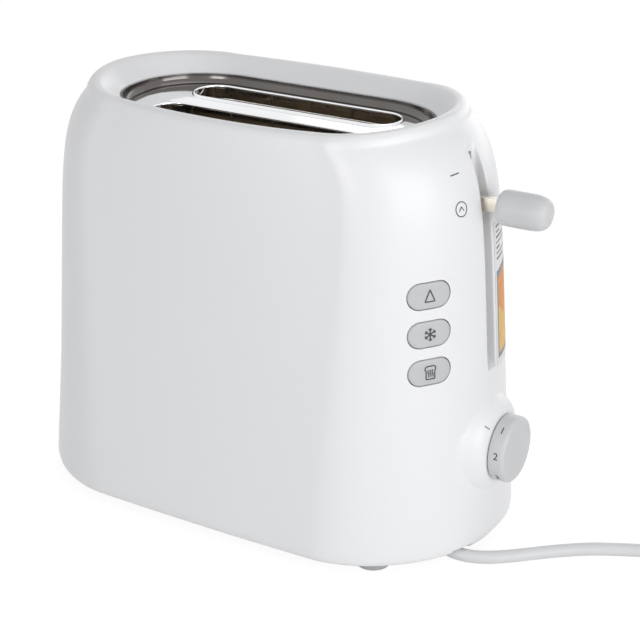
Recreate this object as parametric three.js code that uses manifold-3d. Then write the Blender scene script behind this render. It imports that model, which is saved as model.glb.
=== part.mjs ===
// A two-slot pop-up toaster with a moulded white body, built as separate pieces.
// Millimetres, +Z up. The bread slots run along X, the lever and the browning dial are at the +X end.
import * as THREE from 'three';
import { mergeVertices } from 'three/addons/utils/BufferGeometryUtils.js';
import Module from 'manifold-3d';

const wasm = await Module();
wasm.setup();

// ---- Driving sizes ----

const CLEAR = 0.3; // gap between pieces that sit against each other
const SLIDE_CLEAR = 0.5; // gap round a piece that moves in an opening

// Moulded body
const BODY_HEIGHT = 220; // table to the top of the rim at the two ends
const FLOOR_GAP = 5.8; // table to the body's lower edge
const BASE_HALF_LENGTH = 131.3;
const BASE_HALF_WIDTH = 75.6;
const END_LEAN = 14.5; // how far an end wall leans in from bottom to top
const END_SHOULDER = 15; // further rounding of an end wall near its top
const SHOULDER_POWER = 14;
const SIDE_LEAN = 18.9; // how far a long wall leans in from bottom to top
const CORNER_LENGTH = 67.2; // reach of a rounded corner along X, at the base
const CORNER_TAPER = 24.7; // how much shorter that reach is at the top
const CORNER_WIDTH = 69.2; // reach of a rounded corner along Y, at the base
const CORNER_POWER = 1.81; // 2 is a true ellipse
const SIDE_BULGE = 1; // crown of the long walls at their foot
const RIM_BULGE = 5.5; // and up at the rim
const RIM_DIP = 3.5; // the rim is this much lower at the middle of a long side
const DIP_POWER = 2.9;
const RIM_DROP = 5.8; // wall top to the rim's highest line
const WALL = 2.6;

// Opening in the top of the body, and the chrome tray in it
const LIP_HEIGHT = 209.8;
const LIP_HALF_LENGTH = 85.6;
const LIP_HALF_WIDTH = 40.4;
const LIP_CORNER_LENGTH = 42;
const LIP_CORNER_WIDTH = 38;
const TRAY_DEPTH = 5.2; // lip to the chrome tray's plate
const SHEET = 0.8; // steel sheet
const SLOT_LENGTH = 119;
const SLOT_WIDTH = 22.6;
const SLOT_SPACING = 39; // between the two slots' centre lines
const BEAD = 1.9; // width of the rolled bead round a slot
const BEAD_HEIGHT = 1.8;
const COLLAR_DEPTH = 5.6; // slot collar below the tray's plate

// Lever groove in the +X end
const GROOVE_WIDTH = 10.4;
const GROOVE_DEPTH = 23.9; // base end wall to the groove's floor
const GROOVE_BOTTOM = 96;
const GROOVE_WALL = 1.8;
const ARM_SLIT_WIDTH = 5;

// Lever, carriage and lifters
const LEVER_HEIGHT = 178.8;
const LEVER_DOWN = 77; // travel down to the toasting position
const LEVER_UP = 18; // extra lift to reach small slices
const ARM_HEIGHT = 7;
const ARM_THICKNESS = 3;
const KNOB_LENGTH = 25.8;
const KNOB_RADIUS = 8.7;
const LIFTER_HEIGHT = 120;
const CARRIAGE_X = 80;
const CARRIAGE_BOTTOM = 108;
const CARRIAGE_TOP = 184;
const ROD_RADIUS = 2;
const ROD_X = 76;
const ROD_SPACING = 18;

// Oven
const OVEN_HALF_LENGTH = 66; // to the middle of an end plate
const PLATE_THICKNESS = 1;
const OVEN_HALF_WIDTH = 46;
const BOARD_THICKNESS = 0.6;
const OUTER_BOARD_Y = 38;
const REFLECTOR_Y = 43.8;
const GUARD_WIRE = 0.8; // radius
const GUARD_PITCH = 23.7;
const RIBBON = 0.3;

// Controls
const DIAL_HEIGHT = 54.2;
const DIAL_RADIUS = 16.9;
const DIAL_DEPTH = 8.4;
const BOSS_PROUD = 0.3; // the round boss behind the dial stands this far beyond the base's end
// The boss flares out from its face to the wall: [radius, distance behind the face].
const BOSS_FLARE = [[29, -12], [25, -5.4], [21.5, -2], [18, 0]];
const BOSS_HOLLOW = [[22, -30], [22, -8.5], [17, -3], [17, -WALL]];
const SHAFT_RADIUS = 3;
const BUTTON_WIDTH = 22.4;
const BUTTON_HEIGHT = 12.7;
const BUTTON_PITCH = 19;
const BUTTON_MIDDLE = 124.4; // height of the middle button
const BUTTON_ANGLE = -33.8; // degrees from +X, seen from above
const BUTTON_TRAVEL = 1.8;
const BUTTON_INSET = 21.5; // base end wall to the middle button's face, along X
const BUTTON_Y = -39;

// Underside
const BASE_BOTTOM = 6.6;
const BASE_THICKNESS = 3;
const FOOT_RADIUS = 9;
const FOOT_X = 88;
const FOOT_Y = 51;
const TRAY_HALF_WIDTH = 40;
const TRAY_TOP = 19;
const TRAY_END = 60;

// Mains lead
const CORD_RADIUS = 3.3;
const CORD_REST = 3.45; // height of the lead's centre where it lies on the table
const GLAND_Z = 6.5;
const GLAND_Y = -27.5;
const GLAND_INSET = 25.3; // base end wall to the gland's mouth
const COIL_REACH = 124.3; // gland's mouth to the coil's middle, along X
const COIL_Y = 77.2;
const COIL_INNER = 29.4;
const COIL_OUTER = 42.6;
const COIL_HEIGHT = 12.9;

// ---- Values that follow ----

const WALL_TOP = BODY_HEIGHT - RIM_DROP;
const TRAY_PLATE = LIP_HEIGHT - TRAY_DEPTH; // top of the chrome plate
const COLLAR_BOTTOM = TRAY_PLATE - COLLAR_DEPTH;
const BASE_TOP = BASE_BOTTOM + BASE_THICKNESS;
const PLATE_BOTTOM = BASE_TOP + CLEAR;
const PLATE_TOP = TRAY_PLATE - SHEET - 2 * CLEAR;
const SLOT_Y = SLOT_SPACING / 2;
const GUARD_OFFSET = SLOT_WIDTH / 2 + GUARD_WIRE + CLEAR;
const OVEN_INSIDE = OVEN_HALF_LENGTH - PLATE_THICKNESS / 2 - CLEAR;
const GROOVE_FLOOR = BASE_HALF_LENGTH - GROOVE_DEPTH;
const BOSS_FACE = BASE_HALF_LENGTH + BOSS_PROUD;
const GLAND_END = BASE_HALF_LENGTH - GLAND_INSET;
const LOWEST_KNOB = LEVER_HEIGHT - LEVER_DOWN - KNOB_RADIUS; // where the wall comes closest to the knob
const LOWEST_RISE = (LOWEST_KNOB - FLOOR_GAP) / (WALL_TOP - FLOOR_GAP);
const KNOB_START = BASE_HALF_LENGTH - END_LEAN * LOWEST_RISE + CLEAR;
const KNOB_END = KNOB_START + KNOB_LENGTH;
const CENTRE_SHIFT = -(KNOB_END - BASE_HALF_LENGTH) / 2; // brings the whole length's middle to the origin

// ---- Solids ----

function toSolid(geometry) {
  const bare = new THREE.BufferGeometry();
  bare.setAttribute('position', geometry.getAttribute('position').clone());
  if (geometry.index) bare.setIndex(geometry.index.clone());
  const merged = mergeVertices(bare, 1e-4);
  const corners = merged.index.array;
  const kept = [];
  for (let i = 0; i < corners.length; i += 3) {
    const [a, b, c] = [corners[i], corners[i + 1], corners[i + 2]];
    if (a !== b && b !== c && c !== a) kept.push(a, b, c);
  }
  const vertProperties = new Float32Array(merged.getAttribute('position').array);
  const triVerts = new Uint32Array(kept);
  return new wasm.Manifold(new wasm.Mesh({ numProp: 3, vertProperties, triVerts }));
}

function toGeometry(solid) {
  const mesh = solid.getMesh();
  const geometry = new THREE.BufferGeometry();
  geometry.setAttribute('position', new THREE.BufferAttribute(new Float32Array(mesh.vertProperties), 3));
  geometry.setIndex(new THREE.BufferAttribute(new Uint32Array(mesh.triVerts), 1));
  geometry.computeVertexNormals();
  return geometry;
}

function join(solids) {
  return solids.reduce((whole, solid) => whole.add(solid));
}

function cut(solid, tools) {
  return tools.reduce((whole, tool) => whole.subtract(tool), solid);
}

function box(x0, x1, y0, y1, z0, z1) {
  const geometry = new THREE.BoxGeometry(x1 - x0, y1 - y0, z1 - z0);
  geometry.translate((x0 + x1) / 2, (y0 + y1) / 2, (z0 + z1) / 2);
  return toSolid(geometry);
}

function rod(radius, from, to, sides = 12, endRadius = radius) {
  const start = new THREE.Vector3(...from);
  const end = new THREE.Vector3(...to);
  const along = end.clone().sub(start);
  const geometry = new THREE.CylinderGeometry(endRadius, radius, along.length(), sides);
  geometry.translate(0, along.length() / 2, 0);
  const turn = new THREE.Quaternion().setFromUnitVectors(new THREE.Vector3(0, 1, 0), along.normalize());
  geometry.applyQuaternion(turn);
  geometry.translate(start.x, start.y, start.z);
  return toSolid(geometry);
}

function extrude(shape, depth, curveSegments = 8) {
  return new THREE.ExtrudeGeometry(shape, { depth, bevelEnabled: false, curveSegments, steps: 1 });
}

// A plate whose shape is drawn in X and Y.
function flatPlate(shape, z0, z1, curveSegments) {
  const geometry = extrude(shape, z1 - z0, curveSegments);
  geometry.translate(0, 0, z0);
  return toSolid(geometry);
}

// A plate whose shape is drawn in Y and Z.
function endPlate(shape, x0, x1, curveSegments) {
  const geometry = extrude(shape, x1 - x0, curveSegments);
  const turn = new THREE.Matrix4().makeBasis(
    new THREE.Vector3(0, 1, 0),
    new THREE.Vector3(0, 0, 1),
    new THREE.Vector3(1, 0, 0),
  );
  geometry.applyMatrix4(turn);
  geometry.translate(x0, 0, 0);
  return toSolid(geometry);
}

// A body of revolution whose profile is a list of [radius, distance along +X].
function turned(profile, centre, sides = 28) {
  const points = profile.map(([radius, along]) => new THREE.Vector2(radius, along));
  const geometry = new THREE.LatheGeometry(points, sides);
  geometry.rotateZ(-Math.PI / 2);
  geometry.translate(...centre);
  return toSolid(geometry);
}

function pill(length, width, centreX = 0, centreY = 0) {
  const radius = width / 2;
  const reach = length / 2 - radius;
  const shape = new THREE.Shape();
  shape.moveTo(centreX - reach, centreY - radius);
  shape.lineTo(centreX + reach, centreY - radius);
  shape.absarc(centreX + reach, centreY, radius, -Math.PI / 2, Math.PI / 2, false);
  shape.lineTo(centreX - reach, centreY + radius);
  shape.absarc(centreX - reach, centreY, radius, Math.PI / 2, 1.5 * Math.PI, false);
  return shape;
}

function rectangle(x0, x1, y0, y1) {
  const shape = new THREE.Shape();
  shape.moveTo(x0, y0);
  shape.lineTo(x1, y0);
  shape.lineTo(x1, y1);
  shape.lineTo(x0, y1);
  shape.closePath();
  return shape;
}

// ---- The body's outline ----

const CORNER_STEPS = 9;
const SIDE_STEPS = 3;

// One level of a rounded oblong, anticlockwise from the +X end, as [x, y].
function outline({ halfX, halfY, cornerX, cornerY, bulge = 0, power = 2 }) {
  const quarter = [];
  for (let i = 0; i < CORNER_STEPS; i++) {
    const turn = (i / CORNER_STEPS) * (Math.PI / 2);
    const x = halfX - cornerX + cornerX * Math.cos(turn) ** (2 / power);
    const y = halfY - cornerY + cornerY * Math.sin(turn) ** (2 / power);
    quarter.push([x, y]);
  }
  const straight = halfX - cornerX;
  for (let i = 0; i <= SIDE_STEPS; i++) {
    const x = straight * (1 - i / SIDE_STEPS);
    quarter.push([x, halfY + bulge * (1 - (x / straight) ** 2)]);
  }
  const mirrored = quarter.slice(0, -1).reverse().map(([x, y]) => [-x, y]);
  const half = [...quarter, ...mirrored];
  return [...half, ...half.map(([x, y]) => [-x, -y])].filter((p, i, all) => {
    const next = all[(i + 1) % all.length];
    return Math.hypot(p[0] - next[0], p[1] - next[1]) > 1e-6;
  });
}

// The body's plan at a height, pulled in by an inset.
function bodyPlan(z, inset = 0) {
  const rise = THREE.MathUtils.clamp((z - FLOOR_GAP) / (WALL_TOP - FLOOR_GAP), 0, 1);
  const halfY = BASE_HALF_WIDTH - SIDE_LEAN * rise;
  return {
    halfX: BASE_HALF_LENGTH - END_LEAN * rise - END_SHOULDER * rise ** SHOULDER_POWER - inset,
    halfY: halfY - inset,
    cornerX: CORNER_LENGTH - CORNER_TAPER * rise - inset,
    cornerY: Math.min(CORNER_WIDTH, halfY - 2 * CLEAR) - inset,
    bulge: THREE.MathUtils.lerp(SIDE_BULGE, RIM_BULGE, rise * rise),
    power: CORNER_POWER,
  };
}

function lipPlan(inset = 0) {
  return {
    halfX: LIP_HALF_LENGTH - inset,
    halfY: LIP_HALF_WIDTH - inset,
    cornerX: LIP_CORNER_LENGTH - inset,
    cornerY: LIP_CORNER_WIDTH - inset,
    bulge: 0,
    power: 2,
  };
}

function blendPlans(a, b, share) {
  const blended = {};
  for (const key of Object.keys(a)) blended[key] = THREE.MathUtils.lerp(a[key], b[key], share);
  return blended;
}

// A ring of points at a height, lowered along the long sides by a dip.
function ring(plan, z, dip = 0) {
  return outline(plan).map(([x, y]) => {
    const lowered = dip * (1 - Math.min(1, Math.abs(x / plan.halfX)) ** DIP_POWER);
    return new THREE.Vector3(x, y, z - lowered);
  });
}

// A skin through rings of equal point counts; the lathe gives the faces and the rings the places.
function loft(rings) {
  const count = Math.max(...rings.map((points) => points.length));
  const profile = rings.map((points, level) => new THREE.Vector2(1 + level, level));
  const geometry = new THREE.LatheGeometry(profile, count);
  const position = geometry.getAttribute('position');
  for (let turn = 0; turn <= count; turn++) {
    rings.forEach((points, level) => {
      const point = points[turn % points.length];
      position.setXYZ(turn * rings.length + level, point.x, point.y, point.z);
    });
  }
  return toSolid(geometry);
}

function wallDip(z) {
  return RIM_DIP * ((z - FLOOR_GAP) / (WALL_TOP - FLOOR_GAP)) ** 2;
}

// Heights of the wall's levels as shares of the wall, closer together at the shoulder.
const WALL_LEVELS = [0.12, 0.4, 0.65, 0.8, 0.88, 0.94, 1];

function wallRing(share, inset) {
  const z = THREE.MathUtils.lerp(FLOOR_GAP, WALL_TOP, share);
  return ring(bodyPlan(z, inset), z, wallDip(z));
}

// The lower edge's rounding: [inset, height above the edge].
const EDGE_ROUNDING = [[3.2, 0], [1.2, 1.2], [0.2, 4]];
// The rim's rounding: [inset, height above the wall's top].
const RIM_ROUNDING = [[0.9, 3.2], [2.6, 5.2], [4.6, 5.8]];
// The slope from the rim to the lip: [share of the way in, share of the way down].
const RIM_SLOPE = [[0.3, 0.12], [0.6, 0.45], [0.82, 0.75], [1, 1]];

function outerRings(inset) {
  const edge = EDGE_ROUNDING.map(([side, up]) => {
    const z = FLOOR_GAP + up;
    return ring(bodyPlan(z, side + inset), z);
  });
  return [...edge, ...WALL_LEVELS.map((share) => wallRing(share, inset))];
}

// The body's outer form as one solid block, pulled in or pushed out by an inset.
function bodyBlock(inset) {
  const rings = outerRings(inset);
  const top = rings[rings.length - 1].length;
  const centre = (z) => Array.from({ length: top }, () => new THREE.Vector3(0, 0, z));
  return loft([centre(FLOOR_GAP), ...rings, centre(WALL_TOP)]);
}

function shellSkin() {
  const rimPlan = bodyPlan(WALL_TOP, RIM_ROUNDING[2][0]);
  const rimTop = WALL_TOP + RIM_ROUNDING[2][1];
  const rim = RIM_ROUNDING.map(([inset, up]) => {
    return ring(bodyPlan(WALL_TOP, inset), WALL_TOP + up, RIM_DIP);
  });
  const slope = RIM_SLOPE.map(([inward, down]) => {
    const z = THREE.MathUtils.lerp(rimTop, LIP_HEIGHT, down);
    return ring(blendPlans(rimPlan, lipPlan(), inward), z, RIM_DIP * (1 - down));
  });
  const under = [...RIM_SLOPE].reverse().map(([inward, down]) => {
    const z = THREE.MathUtils.lerp(rimTop, LIP_HEIGHT, down) - WALL;
    return ring(blendPlans(rimPlan, lipPlan(), inward), z, RIM_DIP * (1 - down));
  });
  const inner = [0.97, 0.88, 0.65, 0.3].map((share) => wallRing(share, WALL));
  const foot = [[WALL + 0.4, 4.5], [5, 0]].map(([inset, up]) => {
    const z = FLOOR_GAP + up;
    return ring(bodyPlan(z, inset), z);
  });
  const rings = [...outerRings(0), ...rim, ...slope, ...under, ...inner, ...foot];
  return loft([...rings, rings[0]]);
}

// ---- Places on the front corner for the buttons ----

const FACING = THREE.MathUtils.degToRad(BUTTON_ANGLE);
const OUT = new THREE.Vector3(Math.cos(FACING), Math.sin(FACING), 0);
const ALONG = new THREE.Vector3(-Math.sin(FACING), Math.cos(FACING), 0);

// How far the wall at a height stands out beyond the middle button's face, along the facing direction.
function leanAt(z) {
  const middle = bodyPlan(BUTTON_MIDDLE);
  const here = bodyPlan(z);
  return (here.halfX - middle.halfX) * OUT.x - (here.halfY - middle.halfY) * OUT.y;
}

// Moves a shape drawn in the button's face (X along the face, Y up) to its place on the corner.
// The depth is counted from the wall's face at faceHeight.
function onColumn(geometry, depth, z, faceHeight = z) {
  const turn = new THREE.Matrix4().makeBasis(ALONG, new THREE.Vector3(0, 0, 1), OUT);
  const reach = leanAt(faceHeight) - depth;
  geometry.applyMatrix4(turn);
  geometry.translate(BASE_HALF_LENGTH - BUTTON_INSET + reach * OUT.x, BUTTON_Y + reach * OUT.y, z);
  return toSolid(geometry);
}

// The same for pieces on the upright switch board, which doesn't lean with the wall.
function onBoard(geometry, depth, z) {
  return onColumn(geometry, depth, z, BUTTON_MIDDLE);
}

function columnPill(z, grow, outer, inner) {
  const shape = pill(BUTTON_WIDTH + 2 * grow, BUTTON_HEIGHT + 2 * grow);
  return onColumn(extrude(shape, inner - outer, 6), inner, z);
}

const BUTTON_HEIGHTS = {
  cancel: BUTTON_MIDDLE + BUTTON_PITCH,
  defrost: BUTTON_MIDDLE,
  reheat: BUTTON_MIDDLE - BUTTON_PITCH,
};
const SWITCH_BOARD_DEPTH = 21; // wall face to the back of the small switch board
const SWITCH_BOARD = 1.6;
const POST_LENGTH = 24;

// ---- Crumb tray opening in the -X end ----

const MOUTH_BOTTOM = BASE_TOP - 0.2;
const MOUTH_TOP = TRAY_TOP + SLIDE_CLEAR;

function grooveTool() {
  const half = GROOVE_WIDTH / 2;
  const section = new THREE.Shape();
  section.moveTo(KNOB_END, -half);
  section.lineTo(KNOB_END, half);
  section.lineTo(GROOVE_FLOOR + half, half);
  section.absarc(GROOVE_FLOOR + half, 0, half, Math.PI / 2, 1.5 * Math.PI, false);
  section.closePath();
  return flatPlate(section, GROOVE_BOTTOM, BODY_HEIGHT, 5);
}

function housingShell() {
  const half = GROOVE_WIDTH / 2 + GROOVE_WALL;
  const channel = box(
    GROOVE_FLOOR - GROOVE_WALL, KNOB_END, -half, half, GROOVE_BOTTOM - GROOVE_WALL, WALL_TOP - 4,
  ).intersect(bodyBlock(1));
  const onAxis = (flare) => [[0, flare[0][1]], ...flare, [0, flare[flare.length - 1][1]]];
  const boss = turned(onAxis(BOSS_FLARE), [BOSS_FACE, 0, DIAL_HEIGHT]);
  const bossHollow = turned(onAxis(BOSS_HOLLOW), [BOSS_FACE, 0, DIAL_HEIGHT]);
  const posts = [1, -1].map((side) => {
    const z = BUTTON_MIDDLE + side * (BUTTON_PITCH + BUTTON_HEIGHT / 2 + 5);
    const depth = SWITCH_BOARD_DEPTH - SWITCH_BOARD - CLEAR;
    const post = onBoard(new THREE.BoxGeometry(5, 5, POST_LENGTH), depth - POST_LENGTH / 2, z);
    return post.intersect(bodyBlock(1));
  });
  const slitTop = LEVER_HEIGHT + LEVER_UP + ARM_HEIGHT / 2 + 2;
  const slitBottom = LEVER_HEIGHT - LEVER_DOWN - ARM_HEIGHT / 2 - 1.5;
  const slit = box(
    GROOVE_FLOOR - 10, GROOVE_FLOOR + 6, -ARM_SLIT_WIDTH / 2, ARM_SLIT_WIDTH / 2, slitBottom, slitTop,
  );
  const mouth = box(
    -BASE_HALF_LENGTH - 5, -60, -TRAY_HALF_WIDTH - SLIDE_CLEAR, TRAY_HALF_WIDTH + SLIDE_CLEAR,
    MOUTH_BOTTOM, MOUTH_TOP,
  );
  const cordNotch = box(
    GLAND_END, BASE_HALF_LENGTH + 5, GLAND_Y - 6, GLAND_Y + 6, 0, FLOOR_GAP + 2.4,
  );
  const shaftHole = rod(
    SHAFT_RADIUS + SLIDE_CLEAR, [BOSS_FACE - 20, 0, DIAL_HEIGHT], [BOSS_FACE + 5, 0, DIAL_HEIGHT],
  );
  const holes = Object.values(BUTTON_HEIGHTS).map((z) => columnPill(z, SLIDE_CLEAR, -6, 16));
  const walls = join([shellSkin(), boss]).subtract(bossHollow);
  return cut(join([walls, channel, ...posts]), [
    grooveTool(), slit, mouth, cordNotch, shaftHole, ...holes,
  ]);
}

// ---- Chrome slot tray ----

function slotTray() {
  const rim = (inset) => outline(lipPlan(inset)).map(([x, y]) => new THREE.Vector2(x, y));
  const plateShape = new THREE.Shape(rim(CLEAR));
  const wallShape = new THREE.Shape(rim(CLEAR));
  wallShape.holes.push(new THREE.Path(rim(CLEAR + SHEET)));
  const pieces = [
    flatPlate(wallShape, TRAY_PLATE - SHEET, LIP_HEIGHT - 0.4),
  ];
  for (const side of [-1, 1]) {
    const y = side * SLOT_Y;
    plateShape.holes.push(pill(SLOT_LENGTH, SLOT_WIDTH, 0, y));
    const collar = pill(SLOT_LENGTH + 2 * SHEET, SLOT_WIDTH + 2 * SHEET, 0, y);
    collar.holes.push(pill(SLOT_LENGTH, SLOT_WIDTH, 0, y));
    const bead = pill(SLOT_LENGTH + 2 * BEAD, SLOT_WIDTH + 2 * BEAD, 0, y);
    bead.holes.push(pill(SLOT_LENGTH, SLOT_WIDTH, 0, y));
    pieces.push(flatPlate(collar, COLLAR_BOTTOM, TRAY_PLATE));
    pieces.push(flatPlate(bead, TRAY_PLATE - SHEET / 2, TRAY_PLATE + BEAD_HEIGHT));
  }
  pieces.push(flatPlate(plateShape, TRAY_PLATE - SHEET, TRAY_PLATE));
  return join(pieces);
}

// ---- Underside ----

const SCREW_X = 72;
const SCREW_Y = 45.5;
const SCREW_HEAD = 3.5;
const SCREW_SHANK = 1.7;
const POCKET_START = 80;
const POCKET_TOP = 13;
const POCKET_HALF = 6;
const POCKET_WALL = 2.4;
const SCREW_PLACES = [[1, 1], [1, -1], [-1, 1], [-1, -1]];
const RAIL_HEIGHT = 4;

function basePlate() {
  const points = outline(bodyPlan(FLOOR_GAP, 5 + 2 * CLEAR)).map(([x, y]) => new THREE.Vector2(x, y));
  const plate = flatPlate(new THREE.Shape(points), BASE_BOTTOM, BASE_TOP);
  const rails = [-1, 1].map((side) => {
    const inner = side * (TRAY_HALF_WIDTH + SLIDE_CLEAR);
    const outer = side * (TRAY_HALF_WIDTH + SLIDE_CLEAR + 1.8);
    return box(-62, 62, Math.min(inner, outer), Math.max(inner, outer), BASE_TOP, BASE_TOP + RAIL_HEIGHT);
  });
  const roof = box(
    POCKET_START - POCKET_WALL, GLAND_END + 10, GLAND_Y - POCKET_HALF - POCKET_WALL, GLAND_Y + POCKET_HALF + POCKET_WALL,
    BASE_BOTTOM, POCKET_TOP + POCKET_WALL,
  );
  const pocket = box(POCKET_START, BASE_HALF_LENGTH, GLAND_Y - POCKET_HALF, GLAND_Y + POCKET_HALF, 0, POCKET_TOP);
  const glandHole = rod(
    GLAND_NECK + CLEAR, [POCKET_START - 6, GLAND_Y, GLAND_Z], [POCKET_START + 2, GLAND_Y, GLAND_Z],
  );
  const screwHoles = SCREW_PLACES.flatMap(([sx, sy]) => {
    const [x, y] = [sx * SCREW_X, sy * SCREW_Y];
    return [
      rod(SCREW_SHANK + CLEAR, [x, y, 0], [x, y, BASE_TOP + 1]),
      rod(SCREW_HEAD + CLEAR, [x, y, 0], [x, y, BASE_BOTTOM + 1.8]),
    ];
  });
  const vents = [];
  for (let i = -3; i <= 3; i++) {
    vents.push(flatPlate(pill(70, 5, 0, i * 10), 0, BASE_TOP + 1, 3));
  }
  return cut(join([plate, roof, ...rails]), [pocket, glandHole, ...screwHoles, ...vents]);
}

const FOOT_PLACES = {
  front_left_foot: [-1, -1], front_right_foot: [1, -1], rear_left_foot: [-1, 1], rear_right_foot: [1, 1],
};

function foot() {
  const top = BASE_BOTTOM - CLEAR;
  const profile = [[0, 0], [FOOT_RADIUS - 1.2, 0], [FOOT_RADIUS, 1.2], [FOOT_RADIUS, top], [0, top]];
  const points = profile.map(([radius, z]) => new THREE.Vector2(radius, z));
  const geometry = new THREE.LatheGeometry(points, 20);
  geometry.rotateX(Math.PI / 2);
  return toSolid(geometry);
}

function baseScrew() {
  const headBottom = BASE_BOTTOM + CLEAR;
  const headTop = BASE_BOTTOM + 1.8 - CLEAR;
  return join([
    rod(SCREW_HEAD, [0, 0, headBottom], [0, 0, headTop]),
    rod(SCREW_SHANK, [0, 0, headTop - CLEAR], [0, 0, BASE_TOP + 6]),
  ]);
}

// ---- Oven ----

function ovenEndPlate(side) {
  const x = side * OVEN_HALF_LENGTH;
  const half = PLATE_THICKNESS / 2;
  const shape = rectangle(-OVEN_HALF_WIDTH, OVEN_HALF_WIDTH, PLATE_BOTTOM, PLATE_TOP);
  const plate = endPlate(shape, x - half, x + half);
  const window = box(
    x - 5, x + 5, -TRAY_HALF_WIDTH - 3 * SLIDE_CLEAR, TRAY_HALF_WIDTH + 3 * SLIDE_CLEAR, 0, TRAY_TOP + 2,
  );
  const flanges = [-1, 1].map((edge) => {
    const near = x + side * half;
    const far = x + side * 11;
    const low = edge * (TRAY_HALF_WIDTH + 3 * SLIDE_CLEAR);
    const high = edge * (OVEN_HALF_WIDTH + 4);
    return box(
      Math.min(near - side, far), Math.max(near - side, far), Math.min(low, high), Math.max(low, high),
      PLATE_BOTTOM, PLATE_BOTTOM + PLATE_THICKNESS,
    );
  });
  const screwHoles = [-1, 1].map((edge) => {
    const [sx, sy] = [side * SCREW_X, edge * SCREW_Y];
    return rod(SCREW_SHANK + CLEAR, [sx, sy, 0], [sx, sy, BASE_TOP + 8]);
  });
  const pieces = [plate.subtract(window), ...flanges];
  const tools = [...screwHoles];
  if (side > 0) {
    pieces.push(box(x, ROD_X + 4, -14, 14, PLATE_TOP - PLATE_THICKNESS, PLATE_TOP));
    for (const slotSide of [-1, 1]) {
      const y = slotSide * SLOT_Y;
      tools.push(box(
        x - 5, x + 5, y - 2.4, y + 2.4, LIFTER_HEIGHT - LEVER_DOWN - 6, LIFTER_HEIGHT + LEVER_UP + 4,
      ));
    }
  }
  return cut(join(pieces), tools);
}

function reflector(side) {
  const y = side * REFLECTOR_Y;
  return box(-OVEN_INSIDE, OVEN_INSIDE, y - SHEET / 2, y + SHEET / 2, TRAY_TOP + 4, PLATE_TOP - 1);
}

const HEATER_BOTTOM = 30;
const HEATER_TOP = 192;

function heaterBoard(y) {
  return box(
    -OVEN_INSIDE, OVEN_INSIDE, y - BOARD_THICKNESS / 2, y + BOARD_THICKNESS / 2, HEATER_BOTTOM, HEATER_TOP,
  );
}

// One flat ribbon that runs to and fro across a heater board, on the side given by facing.
function heatingRibbon(y, facing) {
  const near = y + facing * (BOARD_THICKNESS / 2 + CLEAR);
  const far = near + facing * RIBBON;
  const [y0, y1] = [Math.min(near, far), Math.max(near, far)];
  const rows = 11;
  const pitch = 13.4;
  const reach = OVEN_INSIDE - 4;
  const first = HEATER_BOTTOM + 12;
  const runs = [];
  for (let i = 0; i < rows; i++) {
    const z = first + i * pitch;
    runs.push(box(-reach, reach, y0, y1, z, z + 2));
    if (i < rows - 1) {
      const end = i % 2 === 0 ? reach : -reach;
      runs.push(box(Math.min(end, end - 2 * Math.sign(end)), Math.max(end, end - 2 * Math.sign(end)),
        y0, y1, z, z + pitch + 2));
    }
  }
  return join(runs);
}

function wireGuard(y) {
  const bottom = HEATER_BOTTOM;
  const top = COLLAR_BOTTOM - CLEAR - GUARD_WIRE;
  const wires = [bottom, top].map((z) => {
    return rod(GUARD_WIRE, [-OVEN_INSIDE, y, z], [OVEN_INSIDE, y, z], 6);
  });
  for (let i = 0; i < 6; i++) {
    const x = (i - 2.5) * GUARD_PITCH;
    wires.push(rod(GUARD_WIRE * 0.9, [x, y, bottom], [x, y, top], 6));
  }
  return join(wires);
}

// ---- Carriage ----

function carriageBracket() {
  const thickness = 1.2;
  const shape = new THREE.Shape();
  const crossTop = CARRIAGE_BOTTOM + 18;
  shape.moveTo(-24, CARRIAGE_BOTTOM + 4);
  shape.lineTo(-10, CARRIAGE_BOTTOM);
  shape.lineTo(10, CARRIAGE_BOTTOM);
  shape.lineTo(24, CARRIAGE_BOTTOM + 4);
  shape.lineTo(24, crossTop);
  shape.lineTo(8, crossTop + 6);
  shape.lineTo(8, CARRIAGE_TOP);
  shape.lineTo(-8, CARRIAGE_TOP);
  shape.lineTo(-8, crossTop + 6);
  shape.lineTo(-24, crossTop);
  shape.closePath();
  const plate = endPlate(shape, CARRIAGE_X, CARRIAGE_X + thickness);
  const sleeves = [-1, 1].map((side) => {
    const y = side * ROD_SPACING / 2;
    const sleeve = box(ROD_X - 3.6, CARRIAGE_X + 0.2, y - 3.6, y + 3.6, CARRIAGE_BOTTOM + 4, crossTop);
    return sleeve.subtract(rod(ROD_RADIUS + CLEAR, [ROD_X, y, 0], [ROD_X, y, BODY_HEIGHT]));
  });
  const hook = box(ROD_X - 4, CARRIAGE_X + 0.2, -1.5, 1.5, CARRIAGE_BOTTOM + 6, CARRIAGE_BOTTOM + 10);
  return join([plate, ...sleeves, hook]);
}

const SPRING_BOTTOM = CARRIAGE_BOTTOM + 10 + CLEAR;
const FLANGE_BOTTOM = PLATE_TOP - PLATE_THICKNESS;

function carriageSpring() {
  return rod(2.6, [ROD_X - 2.2, 0, SPRING_BOTTOM], [ROD_X - 2.2, 0, FLANGE_BOTTOM - CLEAR], 10);
}

function guideRod(side) {
  const y = side * ROD_SPACING / 2;
  return rod(ROD_RADIUS, [ROD_X, y, PLATE_BOTTOM], [ROD_X, y, FLANGE_BOTTOM - CLEAR], 10);
}

function breadLifter(side) {
  const y = side * SLOT_Y;
  const top = LIFTER_HEIGHT;
  const rib = box(-56, CARRIAGE_X - CLEAR, y - 0.8, y + 0.8, top - 4, top);
  const fingers = [];
  for (let i = -3; i <= 3; i++) {
    const x = i * 17;
    fingers.push(box(x - 3, x + 3, y - SLOT_WIDTH / 2 + 1.6, y + SLOT_WIDTH / 2 - 1.6, top - 1.2, top));
  }
  return join([rib, ...fingers]);
}

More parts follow.
